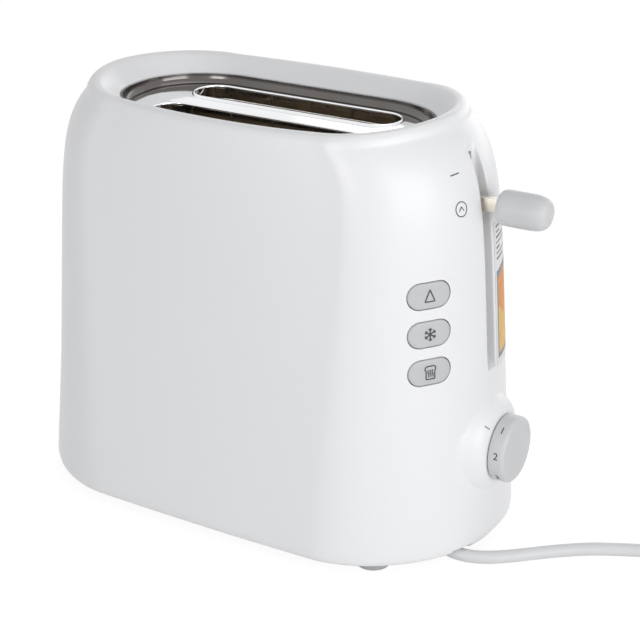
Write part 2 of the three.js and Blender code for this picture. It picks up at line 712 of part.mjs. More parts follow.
function leverArm() {
  const half = ARM_THICKNESS / 2;
  return box(
    CARRIAGE_X + 1.2 + CLEAR, KNOB_START + 9, -half, half,
    LEVER_HEIGHT - ARM_HEIGHT / 2, LEVER_HEIGHT + ARM_HEIGHT / 2,
  );
}

function leverKnob() {
  const r = KNOB_RADIUS;
  const profile = [
    [0, 0], [r - 4, 0], [r - 1.6, 0.9], [r - 0.2, 3.6], [r, 6], [r, KNOB_LENGTH - 7],
    [r - 0.5, KNOB_LENGTH - 4.2], [r - 2, KNOB_LENGTH - 1.8], [r - 4.6, KNOB_LENGTH - 0.3], [0, KNOB_LENGTH],
  ];
  const socket = box(
    KNOB_START - 1, KNOB_START + 9 + CLEAR, -ARM_THICKNESS / 2 - CLEAR, ARM_THICKNESS / 2 + CLEAR,
    LEVER_HEIGHT - ARM_HEIGHT / 2 - CLEAR, LEVER_HEIGHT + ARM_HEIGHT / 2 + CLEAR,
  );
  return turned(profile, [KNOB_START, 0, LEVER_HEIGHT], 24).subtract(socket);
}

const KEEPER_TOP = CARRIAGE_BOTTOM + 3;

function keeperPlate() {
  return box(CARRIAGE_X + 1.2 + CLEAR, 95, -7, 7, CARRIAGE_BOTTOM, KEEPER_TOP);
}

// ---- Magnet, boards and controls ----

const MAGNET_TOP = CARRIAGE_BOTTOM - LEVER_DOWN - CLEAR;

function magnetCore() {
  const base = box(83, 95, -7, 7, PLATE_BOTTOM, PLATE_BOTTOM + 4);
  const legs = [[83, 86], [92, 95]].map(([x0, x1]) => box(x0, x1, -7, 7, PLATE_BOTTOM, MAGNET_TOP));
  return join([base, ...legs]);
}

function magnetCoil() {
  return box(86 + CLEAR, 92 - CLEAR, -9, 9, PLATE_BOTTOM + 4 + CLEAR, MAGNET_TOP - 1.5);
}

const BOARD_X = 100;
const BOARD_HALF = 36.5;
const BOARD_TOP = 86;

function controlBoard() {
  return box(BOARD_X, BOARD_X + 1.6, -BOARD_HALF, BOARD_HALF, 20, BOARD_TOP);
}

function boardBracket() {
  const [x0, x1] = [BOARD_X - 3, BOARD_X + 4];
  const posts = [-1, 1].map((side) => {
    const low = side * (BOARD_HALF + CLEAR);
    const high = side * (BOARD_HALF + 4);
    return box(x0, x1, Math.min(low, high), Math.max(low, high), PLATE_BOTTOM, BOARD_TOP + 3);
  });
  const beam = box(x0, x1, -BOARD_HALF - 4, BOARD_HALF + 4, BOARD_TOP + CLEAR, BOARD_TOP + 3);
  return join([...posts, beam]);
}

const POT_FACE = BOARD_X + 1.6 + CLEAR + 9;

function potentiometer() {
  const start = BOARD_X + 1.6 + CLEAR;
  return rod(8.5, [start, 0, DIAL_HEIGHT], [POT_FACE, 0, DIAL_HEIGHT], 20);
}

const DIAL_BACK = BOSS_FACE + 2 * CLEAR;
const SHAFT_END = DIAL_BACK + 6;

function dialShaft() {
  return rod(SHAFT_RADIUS, [POT_FACE + CLEAR, 0, DIAL_HEIGHT], [SHAFT_END, 0, DIAL_HEIGHT], 16);
}

function browningDial() {
  const r = DIAL_RADIUS;
  const d = DIAL_DEPTH;
  const profile = [[0, 0], [r, 0], [r, d - 2.4], [r - 0.6, d - 0.9], [r - 2, d], [0, d]];
  const socket = rod(
    SHAFT_RADIUS + CLEAR, [DIAL_BACK - 1, 0, DIAL_HEIGHT], [SHAFT_END + CLEAR, 0, DIAL_HEIGHT], 16,
  );
  return turned(profile, [DIAL_BACK, 0, DIAL_HEIGHT], 36).subtract(socket);
}

const STEM_START = 8;
const STEM_END = 12.4;
const SWITCH_TOP = STEM_END + BUTTON_TRAVEL + CLEAR;
const SWITCH_FOOT = SWITCH_BOARD_DEPTH - SWITCH_BOARD - CLEAR;

function button(z) {
  const cap = columnPill(z, 0, -4, STEM_START).intersect(bodyBlock(-0.6));
  const stem = onBoard(extrude(pill(5, 4.9), STEM_END - STEM_START + 3, 4), STEM_END, z);
  return join([cap, stem]);
}

function tactSwitch(z) {
  const body = onBoard(new THREE.BoxGeometry(6, 6, 3), SWITCH_FOOT - 1.5, z);
  const plunger = onBoard(extrude(pill(3.5, 3.4), SWITCH_FOOT - 2 - SWITCH_TOP, 4), SWITCH_FOOT - 2, z);
  return join([body, plunger]);
}

function switchBoard() {
  const height = 2 * (BUTTON_PITCH + BUTTON_HEIGHT / 2 + 7.5);
  const depth = SWITCH_BOARD_DEPTH - SWITCH_BOARD / 2;
  return onBoard(new THREE.BoxGeometry(22, height, SWITCH_BOARD), depth, BUTTON_MIDDLE);
}

function contactBlock() {
  return box(84, 95, 15, 30, PLATE_BOTTOM, 30);
}

// ---- Crumb tray ----

function crumbTray() {
  const floor = PLATE_BOTTOM;
  const frontX = -104; // the pan's square corners stop here, inside the rounded end
  const pan = box(frontX, TRAY_END, -TRAY_HALF_WIDTH, TRAY_HALF_WIDTH, floor, TRAY_TOP - 1);
  const hollow = box(
    frontX + SHEET, TRAY_END - SHEET, -TRAY_HALF_WIDTH + SHEET, TRAY_HALF_WIDTH - SHEET,
    floor + SHEET, TRAY_TOP + 5,
  );
  const nose = box(-140, frontX + 2, -TRAY_HALF_WIDTH, TRAY_HALF_WIDTH, floor, floor + 2);
  const front = box(-140, -96, -TRAY_HALF_WIDTH, TRAY_HALF_WIDTH, floor, TRAY_TOP);
  const panel = front.intersect(bodyBlock(0)).subtract(bodyBlock(WALL));
  const grip = rod(5, [-BASE_HALF_LENGTH - 3, 0, floor - 2], [-BASE_HALF_LENGTH - 3, 0, floor + 5], 16);
  return join([pan.subtract(hollow), nose.intersect(bodyBlock(1)), panel]).subtract(grip);
}

// ---- Mains lead ----

const GLAND_NECK = 5.4;

function cordGland() {
  const profile = [
    [0, POCKET_START - 5], [GLAND_NECK, POCKET_START - 5], [GLAND_NECK, POCKET_START + CLEAR],
    [6, POCKET_START + CLEAR], [6, POCKET_START + 2.5], [5.2, POCKET_START + 2.5],
    [4.2, GLAND_END], [0, GLAND_END],
  ];
  return turned(profile, [0, GLAND_Y, GLAND_Z], 20);
}

function terminalBlock() {
  return box(68, POCKET_START - 5 - CLEAR, GLAND_Y - 5.5, GLAND_Y + 6.5, PLATE_BOTTOM, 26);
}

// The lead from the gland to the coil; X is counted from the gland's mouth.
const CORD_ROUTE = [
  [0.3, -27.5, 6.5], [4.4, -27.5, 6.3], [8.5, -27.5, 5.4], [12.5, -27.5, 4.4],
  [17.5, -27.2, 3.7], [23.5, -26.0, CORD_REST], [30.5, -23.0, CORD_REST],
  [37.6, -18.0, CORD_REST], [48.6, -8.0, CORD_REST], [59.5, 1.8, CORD_REST],
  [71.0, 10.6, CORD_REST], [82.0, 17.0, CORD_REST], [93.7, 22.8, CORD_REST],
  [104.0, 27.7, CORD_REST], [114.5, 32.7, CORD_REST],
];
// The lead from the coil to the plug.
const CORD_END_ROUTE = [
  [148.5, 115.8, 9.1], [147.0, 120.0, 8.9], [145.4, 124.4, 8.9], [143.7, 129.0, 9.4],
];
const PLUG_HEADING = 110; // degrees from +X
const PLUG_TILT = 13.5;

function tube(route, sides, steps) {
  const points = route.map(([x, y, z]) => new THREE.Vector3(GLAND_END + x, y, z));
  const path = new THREE.CatmullRomCurve3(points, false, 'centripetal');
  const section = new THREE.Shape();
  for (let i = 0; i < sides; i++) {
    const turn = ((i + 0.5) / sides) * 2 * Math.PI;
    const point = [CORD_RADIUS * Math.cos(turn), CORD_RADIUS * Math.sin(turn)];
    if (i === 0) section.moveTo(...point);
    else section.lineTo(...point);
  }
  section.closePath();
  return toSolid(new THREE.ExtrudeGeometry(section, { steps, extrudePath: path, bevelEnabled: false }));
}

function cordCoil() {
  const points = [
    [COIL_INNER, 0.1], [COIL_OUTER, 0.1], [COIL_OUTER, COIL_HEIGHT], [COIL_INNER, COIL_HEIGHT], [COIL_INNER, 0.1],
  ].map(([radius, z]) => new THREE.Vector2(radius, z));
  const geometry = new THREE.LatheGeometry(points, 32);
  geometry.rotateX(Math.PI / 2);
  geometry.translate(GLAND_END + COIL_REACH, COIL_Y, 0);
  return toSolid(geometry);
}

const PLUG_LENGTH = 44;
const PLUG_RADIUS = 17;
const PIN_RADIUS = 2.4;
const PIN_SPACING = 19;
const PIN_LENGTH = 19;

// Turns a plug piece, modelled along +X from the cord, to where it lies on the table.
function placePlug(solid) {
  const geometry = toGeometry(solid);
  geometry.rotateY(-THREE.MathUtils.degToRad(PLUG_TILT));
  geometry.rotateZ(THREE.MathUtils.degToRad(PLUG_HEADING));
  const [x, y, z] = CORD_END_ROUTE[CORD_END_ROUTE.length - 1];
  const heading = THREE.MathUtils.degToRad(PLUG_HEADING);
  const gap = 2 * CLEAR;
  geometry.translate(GLAND_END + x + gap * Math.cos(heading), y + gap * Math.sin(heading), z);
  return toSolid(geometry);
}

function plugBody() {
  const r = PLUG_RADIUS;
  const profile = [
    [0, 0], [4.4, 0], [5.6, 13], [8, 15], [13, 22], [r, 31], [r, PLUG_LENGTH - 1], [r - 1, PLUG_LENGTH], [0, PLUG_LENGTH],
  ];
  return placePlug(turned(profile, [0, 0, 0], 24));
}

function plugPin(side) {
  const y = side * PIN_SPACING / 2;
  const start = PLUG_LENGTH + CLEAR;
  return placePlug(rod(PIN_RADIUS, [start, y, 0], [start + PIN_LENGTH, y, 0], 12));
}

// ---- A plain paper label beside the groove ----

function endLabel() {
  const patch = box(GROOVE_FLOOR - 10, KNOB_END, GROOVE_WIDTH / 2 + 1.4, 31, 94, 167);
  return patch.intersect(bodyBlock(-0.6)).subtract(bodyBlock(-CLEAR));
}

// ---- Assembly ----

function finish(color, roughness, metalness) {
  return { color, roughness, metalness };
}

const WHITE_SHELL = finish(0xf1f1f2, 0.25, 0);
const GREY_SATIN = finish(0xc9cacc, 0.5, 0);
const DARK_PLASTIC = finish(0x3a3b3d, 0.6, 0);
const PALE_PLASTIC = finish(0xe4e4e2, 0.5, 0);
const CHROME = finish(0xdfe3e6, 0.06, 1);
const STEEL = finish(0xa9abac, 0.35, 1);
const ZINC = finish(0xcfc8b4, 0.35, 1);
const MICA = finish(0xb49a6b, 0.6, 0);
const HOT_RIBBON = finish(0x8c8078, 0.4, 1);
const RUBBER = finish(0x6d6f72, 0.8, 0);
const CIRCUIT = finish(0x2f5d3a, 0.5, 0);
const COPPER = finish(0xb8703a, 0.4, 1);
const LEAD_GREY = finish(0xd8d9da, 0.5, 0);
const BRASS = finish(0xc9b26a, 0.3, 1);
const PAPER = finish(0xe8e6e0, 0.6, 0);

const toaster = new THREE.Group();
toaster.position.x = CENTRE_SHIFT;

function place(name, solid, material) {
  const mesh = new THREE.Mesh(toGeometry(solid), new THREE.MeshStandardMaterial(material));
  mesh.name = name;
  toaster.add(mesh);
  return mesh;
}

place('housing_shell', housingShell(), WHITE_SHELL);
place('slot_tray', slotTray(), CHROME);
place('base_plate', basePlate(), PALE_PLASTIC);
for (const [name, [sx, sy]] of Object.entries(FOOT_PLACES)) {
  place(name, foot(), RUBBER).position.set(sx * FOOT_X, sy * FOOT_Y, 0);
}
SCREW_PLACES.forEach(([sx, sy], i) => {
  place(`base_screw_${i + 1}`, baseScrew(), STEEL).position.set(sx * SCREW_X, sy * SCREW_Y, 0);
});

place('lever_end_plate', ovenEndPlate(1), STEEL);
place('far_end_plate', ovenEndPlate(-1), STEEL);
place('front_reflector', reflector(-1), STEEL);
place('rear_reflector', reflector(1), STEEL);
place('front_heater_board', heaterBoard(-OUTER_BOARD_Y), MICA);
place('centre_heater_board', heaterBoard(0), MICA);
place('rear_heater_board', heaterBoard(OUTER_BOARD_Y), MICA);
place('front_heating_ribbon', heatingRibbon(-OUTER_BOARD_Y, 1), HOT_RIBBON);
place('centre_heating_ribbon_front', heatingRibbon(0, -1), HOT_RIBBON);
place('centre_heating_ribbon_rear', heatingRibbon(0, 1), HOT_RIBBON);
place('rear_heating_ribbon', heatingRibbon(OUTER_BOARD_Y, -1), HOT_RIBBON);
place('front_slot_outer_guard', wireGuard(-SLOT_Y - GUARD_OFFSET), STEEL);
place('front_slot_inner_guard', wireGuard(-SLOT_Y + GUARD_OFFSET), STEEL);
place('rear_slot_inner_guard', wireGuard(SLOT_Y - GUARD_OFFSET), STEEL);
place('rear_slot_outer_guard', wireGuard(SLOT_Y + GUARD_OFFSET), STEEL);

place('front_guide_rod', guideRod(-1), STEEL);
place('rear_guide_rod', guideRod(1), STEEL);
place('carriage_spring', carriageSpring(), STEEL);
place('carriage_bracket', carriageBracket(), STEEL);
place('front_bread_lifter', breadLifter(-1), STEEL);
place('rear_bread_lifter', breadLifter(1), STEEL);
place('keeper_plate', keeperPlate(), STEEL);
place('lever_arm', leverArm(), ZINC);
place('lever_knob', leverKnob(), GREY_SATIN);

place('magnet_core', magnetCore(), STEEL);
place('magnet_coil', magnetCoil(), COPPER);
place('contact_block', contactBlock(), DARK_PLASTIC);
place('control_board', controlBoard(), CIRCUIT);
place('board_bracket', boardBracket(), PALE_PLASTIC);
place('potentiometer', potentiometer(), DARK_PLASTIC);
place('dial_shaft', dialShaft(), PALE_PLASTIC);
place('browning_dial', browningDial(), GREY_SATIN);
place('switch_board', switchBoard(), CIRCUIT);
for (const [name, z] of Object.entries(BUTTON_HEIGHTS)) {
  place(`${name}_button`, button(z), GREY_SATIN);
  place(`${name}_switch`, tactSwitch(z), DARK_PLASTIC);
}

place('crumb_tray', crumbTray(), STEEL);
place('end_label', endLabel(), PAPER);

place('cord_gland', cordGland(), LEAD_GREY);
place('terminal_block', terminalBlock(), PALE_PLASTIC);
place('power_cord', tube(CORD_ROUTE, 10, 26), LEAD_GREY);
place('cord_coil', cordCoil(), LEAD_GREY);
place('cord_end', tube(CORD_END_ROUTE, 10, 4), LEAD_GREY);
place('plug_body', plugBody(), LEAD_GREY);
place('plug_pin_1', plugPin(-1), BRASS);
place('plug_pin_2', plugPin(1), BRASS);

export default toaster;
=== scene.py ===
# %% [markdown]
# # A two-slot pop-up toaster
# The object is a moulded white body with a chrome tray let into its top, and everything a hand
# touches sits on one end: the lever, the browning dial and three push buttons.
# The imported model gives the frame. Each cell below makes one piece or one finish on top of it,
# in metres, and prints what it made.

# %% Load the frame
import bpy, bmesh, math
import numpy as np
from mathutils import Matrix, Vector
from mathutils.geometry import tessellate_polygon


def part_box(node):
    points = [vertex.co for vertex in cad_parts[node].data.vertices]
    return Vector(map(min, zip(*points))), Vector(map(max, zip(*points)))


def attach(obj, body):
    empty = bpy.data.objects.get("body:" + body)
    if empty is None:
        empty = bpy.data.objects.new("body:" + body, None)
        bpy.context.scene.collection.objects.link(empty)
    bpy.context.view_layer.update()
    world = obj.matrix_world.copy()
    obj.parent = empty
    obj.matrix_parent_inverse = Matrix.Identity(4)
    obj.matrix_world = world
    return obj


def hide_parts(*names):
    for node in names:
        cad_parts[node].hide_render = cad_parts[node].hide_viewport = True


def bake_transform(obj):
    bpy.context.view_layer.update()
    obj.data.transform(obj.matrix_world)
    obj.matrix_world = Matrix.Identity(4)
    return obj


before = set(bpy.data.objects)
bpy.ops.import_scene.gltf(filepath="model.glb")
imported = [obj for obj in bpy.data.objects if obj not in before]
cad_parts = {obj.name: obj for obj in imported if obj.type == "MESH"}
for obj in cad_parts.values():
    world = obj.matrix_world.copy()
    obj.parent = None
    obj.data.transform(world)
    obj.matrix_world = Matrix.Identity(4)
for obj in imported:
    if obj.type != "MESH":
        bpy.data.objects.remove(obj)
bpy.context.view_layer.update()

# %% [markdown]
# Sizes are easiest to read in millimetres, measured from the middle of the moulded body. The frame's
# own origin is shifted along X, because the knob makes the whole length uneven. The slot tray sits in
# the body's middle, so its box tells by how much and no number has to be copied.

# %% Millimetres in the body's own middle
MM = 0.001
tray_low, tray_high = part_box("slot_tray")
SHELL_MIDDLE = (tray_low[0] + tray_high[0]) / 2


def place_mm(x, y, z):
    """A point given in millimetres from the body's middle, as metres in the frame."""
    return Vector((x * MM + SHELL_MIDDLE, y * MM, z * MM))


def add_object(name, data):
    """A new object in the scene around a mesh, curve, lamp or camera."""
    made = bpy.data.objects.new(name, data)
    bpy.context.collection.objects.link(made)
    return made


def evaluated_mesh(piece):
    """A plain mesh of the piece with its modifiers applied."""
    return bpy.data.meshes.new_from_object(piece.evaluated_get(bpy.context.evaluated_depsgraph_get()))


def apply_modifiers(piece):
    """Swaps the piece's mesh for the evaluated one and drops its modifiers."""
    mesh = evaluated_mesh(piece)
    piece.modifiers.clear()
    piece.data = mesh


print("shell middle at X =", round(SHELL_MIDDLE, 5))

# %% [markdown]
# ## Camera
# A product view from the front corner, a little above. The camera stands well back, so the long
# lens keeps the body's lean honest. Its axes are worked out from two angles.

# %% Camera
CAMERA_TURN, CAMERA_RISE = math.radians(31.13), math.radians(23.02)
CAMERA_EYE = (435.26, -677.12, 435.11)
FOCAL_LENGTH = 93.51

camera_back = Vector((math.sin(CAMERA_TURN) * math.cos(CAMERA_RISE),
                      -math.cos(CAMERA_TURN) * math.cos(CAMERA_RISE), math.sin(CAMERA_RISE)))
camera_right = Vector((math.cos(CAMERA_TURN), math.sin(CAMERA_TURN), 0))
camera_up = camera_back.cross(camera_right)
camera_data = bpy.data.cameras.new("product_camera")
camera_data.lens, camera_data.sensor_width = FOCAL_LENGTH, 36
camera_data.clip_start, camera_data.clip_end = 0.01, 20
camera = add_object("product_camera", camera_data)
camera.matrix_world = Matrix.Translation(place_mm(*CAMERA_EYE)) @ Matrix(
    (camera_right, camera_up, camera_back)).transposed().to_4x4()
bpy.context.scene.camera = camera
print("camera at", [round(v, 3) for v in camera.location])

# %% [markdown]
# ## Finishes
# Real mouldings and pressings are never one flat colour: the surface drifts a little in tone, the
# gloss breaks up, and there is a fine texture. One helper builds that from noise in Object
# coordinates, so the pattern stays on the piece wherever it moves.

# %% Helpers for nodes and finishes
def add_node(tree, kind, links=None, **settings):
    """A node with its properties set and its inputs linked or valued by name or index."""
    node = tree.nodes.new(kind)
    for key, value in settings.items():
        setattr(node, key, value)
    for key, source in (links or {}).items():
        socket = node.inputs[key]
        if isinstance(source, bpy.types.NodeSocket):
            tree.links.new(source, socket)
        else:
            socket.default_value = source
    return node


def math_node(tree, operation, a, b=0.0):
    """One sum of the tree."""
    return add_node(tree, "ShaderNodeMath", {0: a, 1: b}, operation=operation).outputs[0]


def make_finish(name, colour, roughness, metal=0.0, drift=0.03, drift_size=40, rough_drift=0.05,
                grain=900, grain_depth=0.02, coat=0.0, stretch=(1, 1, 1)):
    """A material whose tone, gloss and fine texture vary gently over the surface."""
    material = bpy.data.materials.new(name)
    material.use_nodes = True
    tree = material.node_tree
    where = add_node(tree, "ShaderNodeTexCoord").outputs["Object"]
    mapped = add_node(tree, "ShaderNodeMapping", {"Vector": where, "Scale": stretch}).outputs[0]
    broad, fine = (add_node(tree, "ShaderNodeTexNoise",
                            {"Vector": mapped, "Scale": scale, "Detail": detail}).outputs["Fac"]
                   for scale, detail in ((drift_size, 3), (grain, 2)))
    tone = add_node(tree, "ShaderNodeValToRGB", {"Fac": broad})
    for element, position, change in zip(tone.color_ramp.elements, (0.3, 0.7), (-drift, drift)):
        element.position = position
        element.color = (*[min(1, max(0, c * (1 + change))) for c in colour], 1)
    gloss = add_node(tree, "ShaderNodeMapRange", {
        "Value": broad, "To Min": max(0.02, roughness - rough_drift), "To Max": min(1, roughness + rough_drift)})
    bump = add_node(tree, "ShaderNodeBump", {"Height": fine, "Strength": grain_depth, "Distance": 0.0005})
    shader = tree.nodes["Principled BSDF"].inputs
    tree.links.new(tone.outputs["Color"], shader["Base Color"])
    tree.links.new(gloss.outputs["Result"], shader["Roughness"])
    tree.links.new(bump.outputs["Normal"], shader["Normal"])
    shader["Metallic"].default_value = metal
    shader["Coat Weight"].default_value = coat
    shader["Coat Roughness"].default_value = 0.08
    return material


# %% The finishes of this toaster
WHITE_GLOSS = make_finish("white_gloss_moulding", (0.83, 0.832, 0.838), 0.37, drift=0.008, drift_size=9,
                          rough_drift=0.04, grain=260, grain_depth=0.012, coat=0.06)
CHROME = make_finish("chrome_tray", (0.86, 0.865, 0.875), 0.07, metal=1, drift=0.02, drift_size=30,
                     rough_drift=0.025, grain=500, grain_depth=0.01)
# the wall's dark colour is painted shade: it stands for the shadowed reflection under the tray's lip
SHADE_PAINTED_CHROME = make_finish("shade_painted_chrome_wall", (0.145, 0.135, 0.13), 0.16, metal=1, drift=0.15,
                            drift_size=25, rough_drift=0.04, grain=500, grain_depth=0.01)
SATIN_GREY, BUTTON_GREY = (make_finish(name, colour, 0.42, drift=0.02, grain=1800, grain_depth=0.05)
                           for name, colour in (("satin_grey_plastic", (0.62, 0.625, 0.63)),
                                                ("button_grey_plastic", (0.53, 0.535, 0.54))))
ZINC = make_finish("zinc_plated_arm", (0.72, 0.68, 0.60), 0.32, metal=0.85, drift=0.05, drift_size=120,
                   grain=900, grain_depth=0.05)
SHEET_STEEL = make_finish("oven_sheet_steel", (0.42, 0.39, 0.36), 0.38, metal=1, drift=0.12, drift_size=60,
                          grain=900, grain_depth=0.06, stretch=(0.2, 1, 1))
GUARD_WIRE = make_finish("bright_guard_wire", (0.78, 0.76, 0.72), 0.25, metal=1, drift=0.1, drift_size=150)
MICA = make_finish("layered_mica", (0.36, 0.26, 0.16), 0.45, drift=0.25, drift_size=90, rough_drift=0.15,
                   grain=300, grain_depth=0.15, stretch=(0.5, 1, 2))
RIBBON = make_finish("oxidised_ribbon", (0.16, 0.12, 0.10), 0.45, metal=0.8, drift=0.3, drift_size=140)
PALE_PLASTIC = make_finish("pale_plastic", (0.72, 0.72, 0.71), 0.5, drift=0.03, grain=1500, grain_depth=0.06)
DARK_PLASTIC = make_finish("dark_plastic", (0.045, 0.045, 0.05), 0.5, drift=0.1, grain=1500, grain_depth=0.06)
BOARD_GREEN = make_finish("lacquered_board", (0.035, 0.12, 0.055), 0.35, drift=0.15, drift_size=200)
COPPER = make_finish("lacquered_copper", (0.62, 0.30, 0.13), 0.3, metal=1, drift=0.1, grain=2500,
                     grain_depth=0.3, stretch=(1, 0.2, 3))
RUBBER = make_finish("foot_rubber", (0.42, 0.43, 0.44), 0.75, drift=0.08, grain=1600, grain_depth=0.12)
JACKET = make_finish("cord_jacket", (0.68, 0.685, 0.69), 0.42, drift=0.02, grain=1400, grain_depth=0.05)
BRASS = make_finish("plug_pin_brass", (0.74, 0.60, 0.32), 0.25, metal=1, drift=0.06, drift_size=180)
INK = make_finish("printed_grey_ink", (0.05, 0.052, 0.056), 0.5, drift=0.05)
PAPER = make_finish("label_sheet", (0.76, 0.76, 0.75), 0.45, drift=0.02)
PRINT_GREY = make_finish("label_grey_print", (0.20, 0.22, 0.26), 0.45, drift=0.04)
PRINT_ORANGE = make_finish("label_orange_print", (0.66, 0.24, 0.035), 0.45, drift=0.15, drift_size=260)
PRINT_YELLOW = make_finish("label_yellow_print", (0.72, 0.43, 0.09), 0.45, drift=0.10, drift_size=260)
print(len(bpy.data.materials), "finishes")

# %% [markdown]
# ## Mesh helpers
# Most pieces are either a skin through a stack of rings, or a profile turned round an axis. Both
# come from one routine that joins neighbouring rings with four-sided faces, so the surface stays
# clean enough for a gloss finish.

# %% Rings to mesh
def mesh_piece(name, points_mm, faces, finish, angle=35):
    """A smooth-shaded mesh from millimetre points; edges sharper than angle stay crisp."""
    mesh = bpy.data.meshes.new(name)
    mesh.from_pydata([place_mm(*p) for p in points_mm], [], faces)
    mesh.materials.append(finish)
    crisp_by_angle(mesh, angle)
    return add_object(name, mesh)


def crisp_by_angle(mesh, angle):
    """Smooth shading, with sharp edges where two faces meet at more than angle degrees."""
    mesh.polygons.foreach_set("use_smooth", [True] * len(mesh.polygons))
    mesh.set_sharp_from_angle(angle=math.radians(angle))
    mesh.update()


def skin(rings, cap_start=False, cap_end=False, closed=False):
    """Points and faces of a skin through rings of equal counts."""
    count = len(rings[0])
    points = [tuple(p) for ring in rings for p in ring]
    faces = []
    for level in range(len(rings) if closed else len(rings) - 1):
        low, high = level * count, ((level + 1) % len(rings)) * count
        for i in range(count):
            j = (i + 1) % count
            faces.append((low + i, low + j, high + j, high + i))
    if cap_start:
        faces.append(tuple(range(count - 1, -1, -1)))
    if cap_end:
        top = (len(rings) - 1) * count
        faces.append(tuple(range(top, top + count)))
    return points, faces


def lathe(profile, start, sides, axis=(1, 0, 0)):
    """A profile [(radius, distance along axis)...] turned about an axis from start, closed at its ends."""
    along = Vector(axis).normalized()
    side = along.orthogonal().normalized()
    other = along.cross(side)
    rings = []
    for radius, distance in profile:
        centre = Vector(start) + along * distance
        rings.append([centre + (side * math.cos(t) + other * math.sin(t)) * radius
                      for t in np.linspace(0, 2 * math.pi, sides, endpoint=False)])
    return skin(rings, cap_start=True, cap_end=True)


def rounded(points, steps=6):
    """A smooth run through given points, passing through every one."""
    pts = [np.array(p, float) for p in points]
    pts = [2 * pts[0] - pts[1]] + pts + [2 * pts[-1] - pts[-2]]
    run = []
    for a, b, c, d in zip(pts, pts[1:], pts[2:], pts[3:]):
        for t in np.linspace(0, 1, steps, endpoint=False):
            run.append(0.5 * (2 * b + (c - a) * t + (2 * a - 5 * b + 4 * c - d) * t * t
                              + (3 * b - a - 3 * c + d) * t ** 3))
    return run + [pts[-2]]


def face_outwards(piece):
    """Welds a closed mesh, drops slivers, fills small holes and turns its normals to the outside."""
    bm = bmesh.new()
    bm.from_mesh(piece.data)
    bmesh.ops.remove_doubles(bm, verts=bm.verts, dist=2e-6)
    bmesh.ops.dissolve_degenerate(bm, edges=bm.edges, dist=2e-6)
    bmesh.ops.holes_fill(bm, edges=[e for e in bm.edges if e.is_boundary], sides=8)
    bmesh.ops.recalc_face_normals(bm, faces=bm.faces)
    bm.to_mesh(piece.data)
    bm.free()


def adopt(piece, body, slot, *nodes):
    """The piece moves with a body and stands for the named nodes, which it hides; slot is not used."""
    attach(piece, body)
    if nodes:
        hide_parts(*nodes)
    print(piece.name, "faces:", len(piece.data.polygons) if piece.type == "MESH" else "curve")
    return piece


# %% [markdown]
# ## Mains lead
# The lead leaves the underside, drops to the table within a few diameters, and runs off past the
# lever end. The rest is wound in a neat coil as for storage, with the plug beside it. It is one
# open spline with a round bevel, so its length can be measured along the curve.

# %% The lead's route
CORD_RADIUS, CORD_REST, CORD_UPPER = 3.3, 3.45, 9.15  # the upper turn rests on the two lower ones
EXIT_Y, EXIT_Z = -27.5, 6.5
COIL_CENTRE = (230.3, 77.2)
COIL_RADIUS, COIL_ENTRY = 36.0, -64.5  # the middle of the coil's section, and where the lead comes in
COIL_TURNS = [(39.3, CORD_REST), (32.7, CORD_REST), (COIL_RADIUS, CORD_UPPER)]  # radius and height
OUT_RUN = [
    (106.3, -27.5, 6.5), (110.4, -27.5, 6.3), (114.5, -27.5, 5.4), (118.5, -27.5, 4.4),
    (123.5, -27.2, 3.7), (129.5, -26.0, CORD_REST), (136.5, -23.0, CORD_REST),
    (143.6, -18.0, CORD_REST), (154.6, -8.0, CORD_REST), (165.5, 1.8, CORD_REST),
    (177.0, 10.6, CORD_REST), (188.0, 17.0, CORD_REST), (199.7, 22.8, CORD_REST),
    (210.0, 27.7, CORD_REST), (220.5, 32.7, CORD_REST),
]
END_RUN = [(254.5, 115.8, 9.1), (253.0, 120.0, 8.9), (251.4, 124.4, 8.9), (249.7, 129.0, 9.4)]


def coil_points():
    """Three turns, anticlockwise from above: two beside each other on the table, one on top."""
    points = []

    def add(radius, height, degrees):
        t = math.radians(degrees)
        points.append((COIL_CENTRE[0] + radius * math.cos(t), COIL_CENTRE[1] + radius * math.sin(t), height))

    for turn, (radius, height) in enumerate(COIL_TURNS):
        following = COIL_TURNS[min(turn + 1, len(COIL_TURNS) - 1)]
        for share in np.arange(18) / 18:
            # the last third of a turn eases over to the next one's radius and height
            ease = max(0, (share - 0.62) / 0.38)
            ease = ease * ease * (3 - 2 * ease)
            add(radius + (following[0] - radius) * ease, height + (following[1] - height) * ease,
                COIL_ENTRY + 360 * share)
    for degrees in np.arange(COIL_ENTRY, 20, 18.0):
        add(COIL_RADIUS, CORD_UPPER, degrees)
    return points


lead_route = OUT_RUN + [(230.5, 37.0, CORD_REST), (239.5, 40.0, CORD_REST)] + coil_points()
lead_route += [(261.5, 97.0, 9.2), (258.0, 106.4, 9.2)] + END_RUN
lead_curve = bpy.data.curves.new("mains_lead", "CURVE")
lead_curve.dimensions, lead_curve.use_fill_caps = "3D", True
lead_curve.bevel_depth, lead_curve.bevel_resolution, lead_curve.resolution_u = CORD_RADIUS * MM, 6, 6
lead_spline = lead_curve.splines.new("BEZIER")
lead_spline.bezier_points.add(len(lead_route) - 1)
for knot, point in zip(lead_spline.bezier_points, lead_route):
    knot.co = place_mm(*point)
    knot.handle_left_type = knot.handle_right_type = "AUTO"
lead_curve.materials.append(JACKET)
mains_lead = add_object("mains_lead", lead_curve)
adopt(mains_lead, "toaster_body", "cord_jacket", "power_cord", "cord_coil", "cord_end")

# %% [markdown]
# ## Plug
# A round two-pin plug with a tapered, ribbed neck. Its profile is turned once about the lead's
# line, then laid on the table where the lead ends: the rim rests on the table, so it tips up.

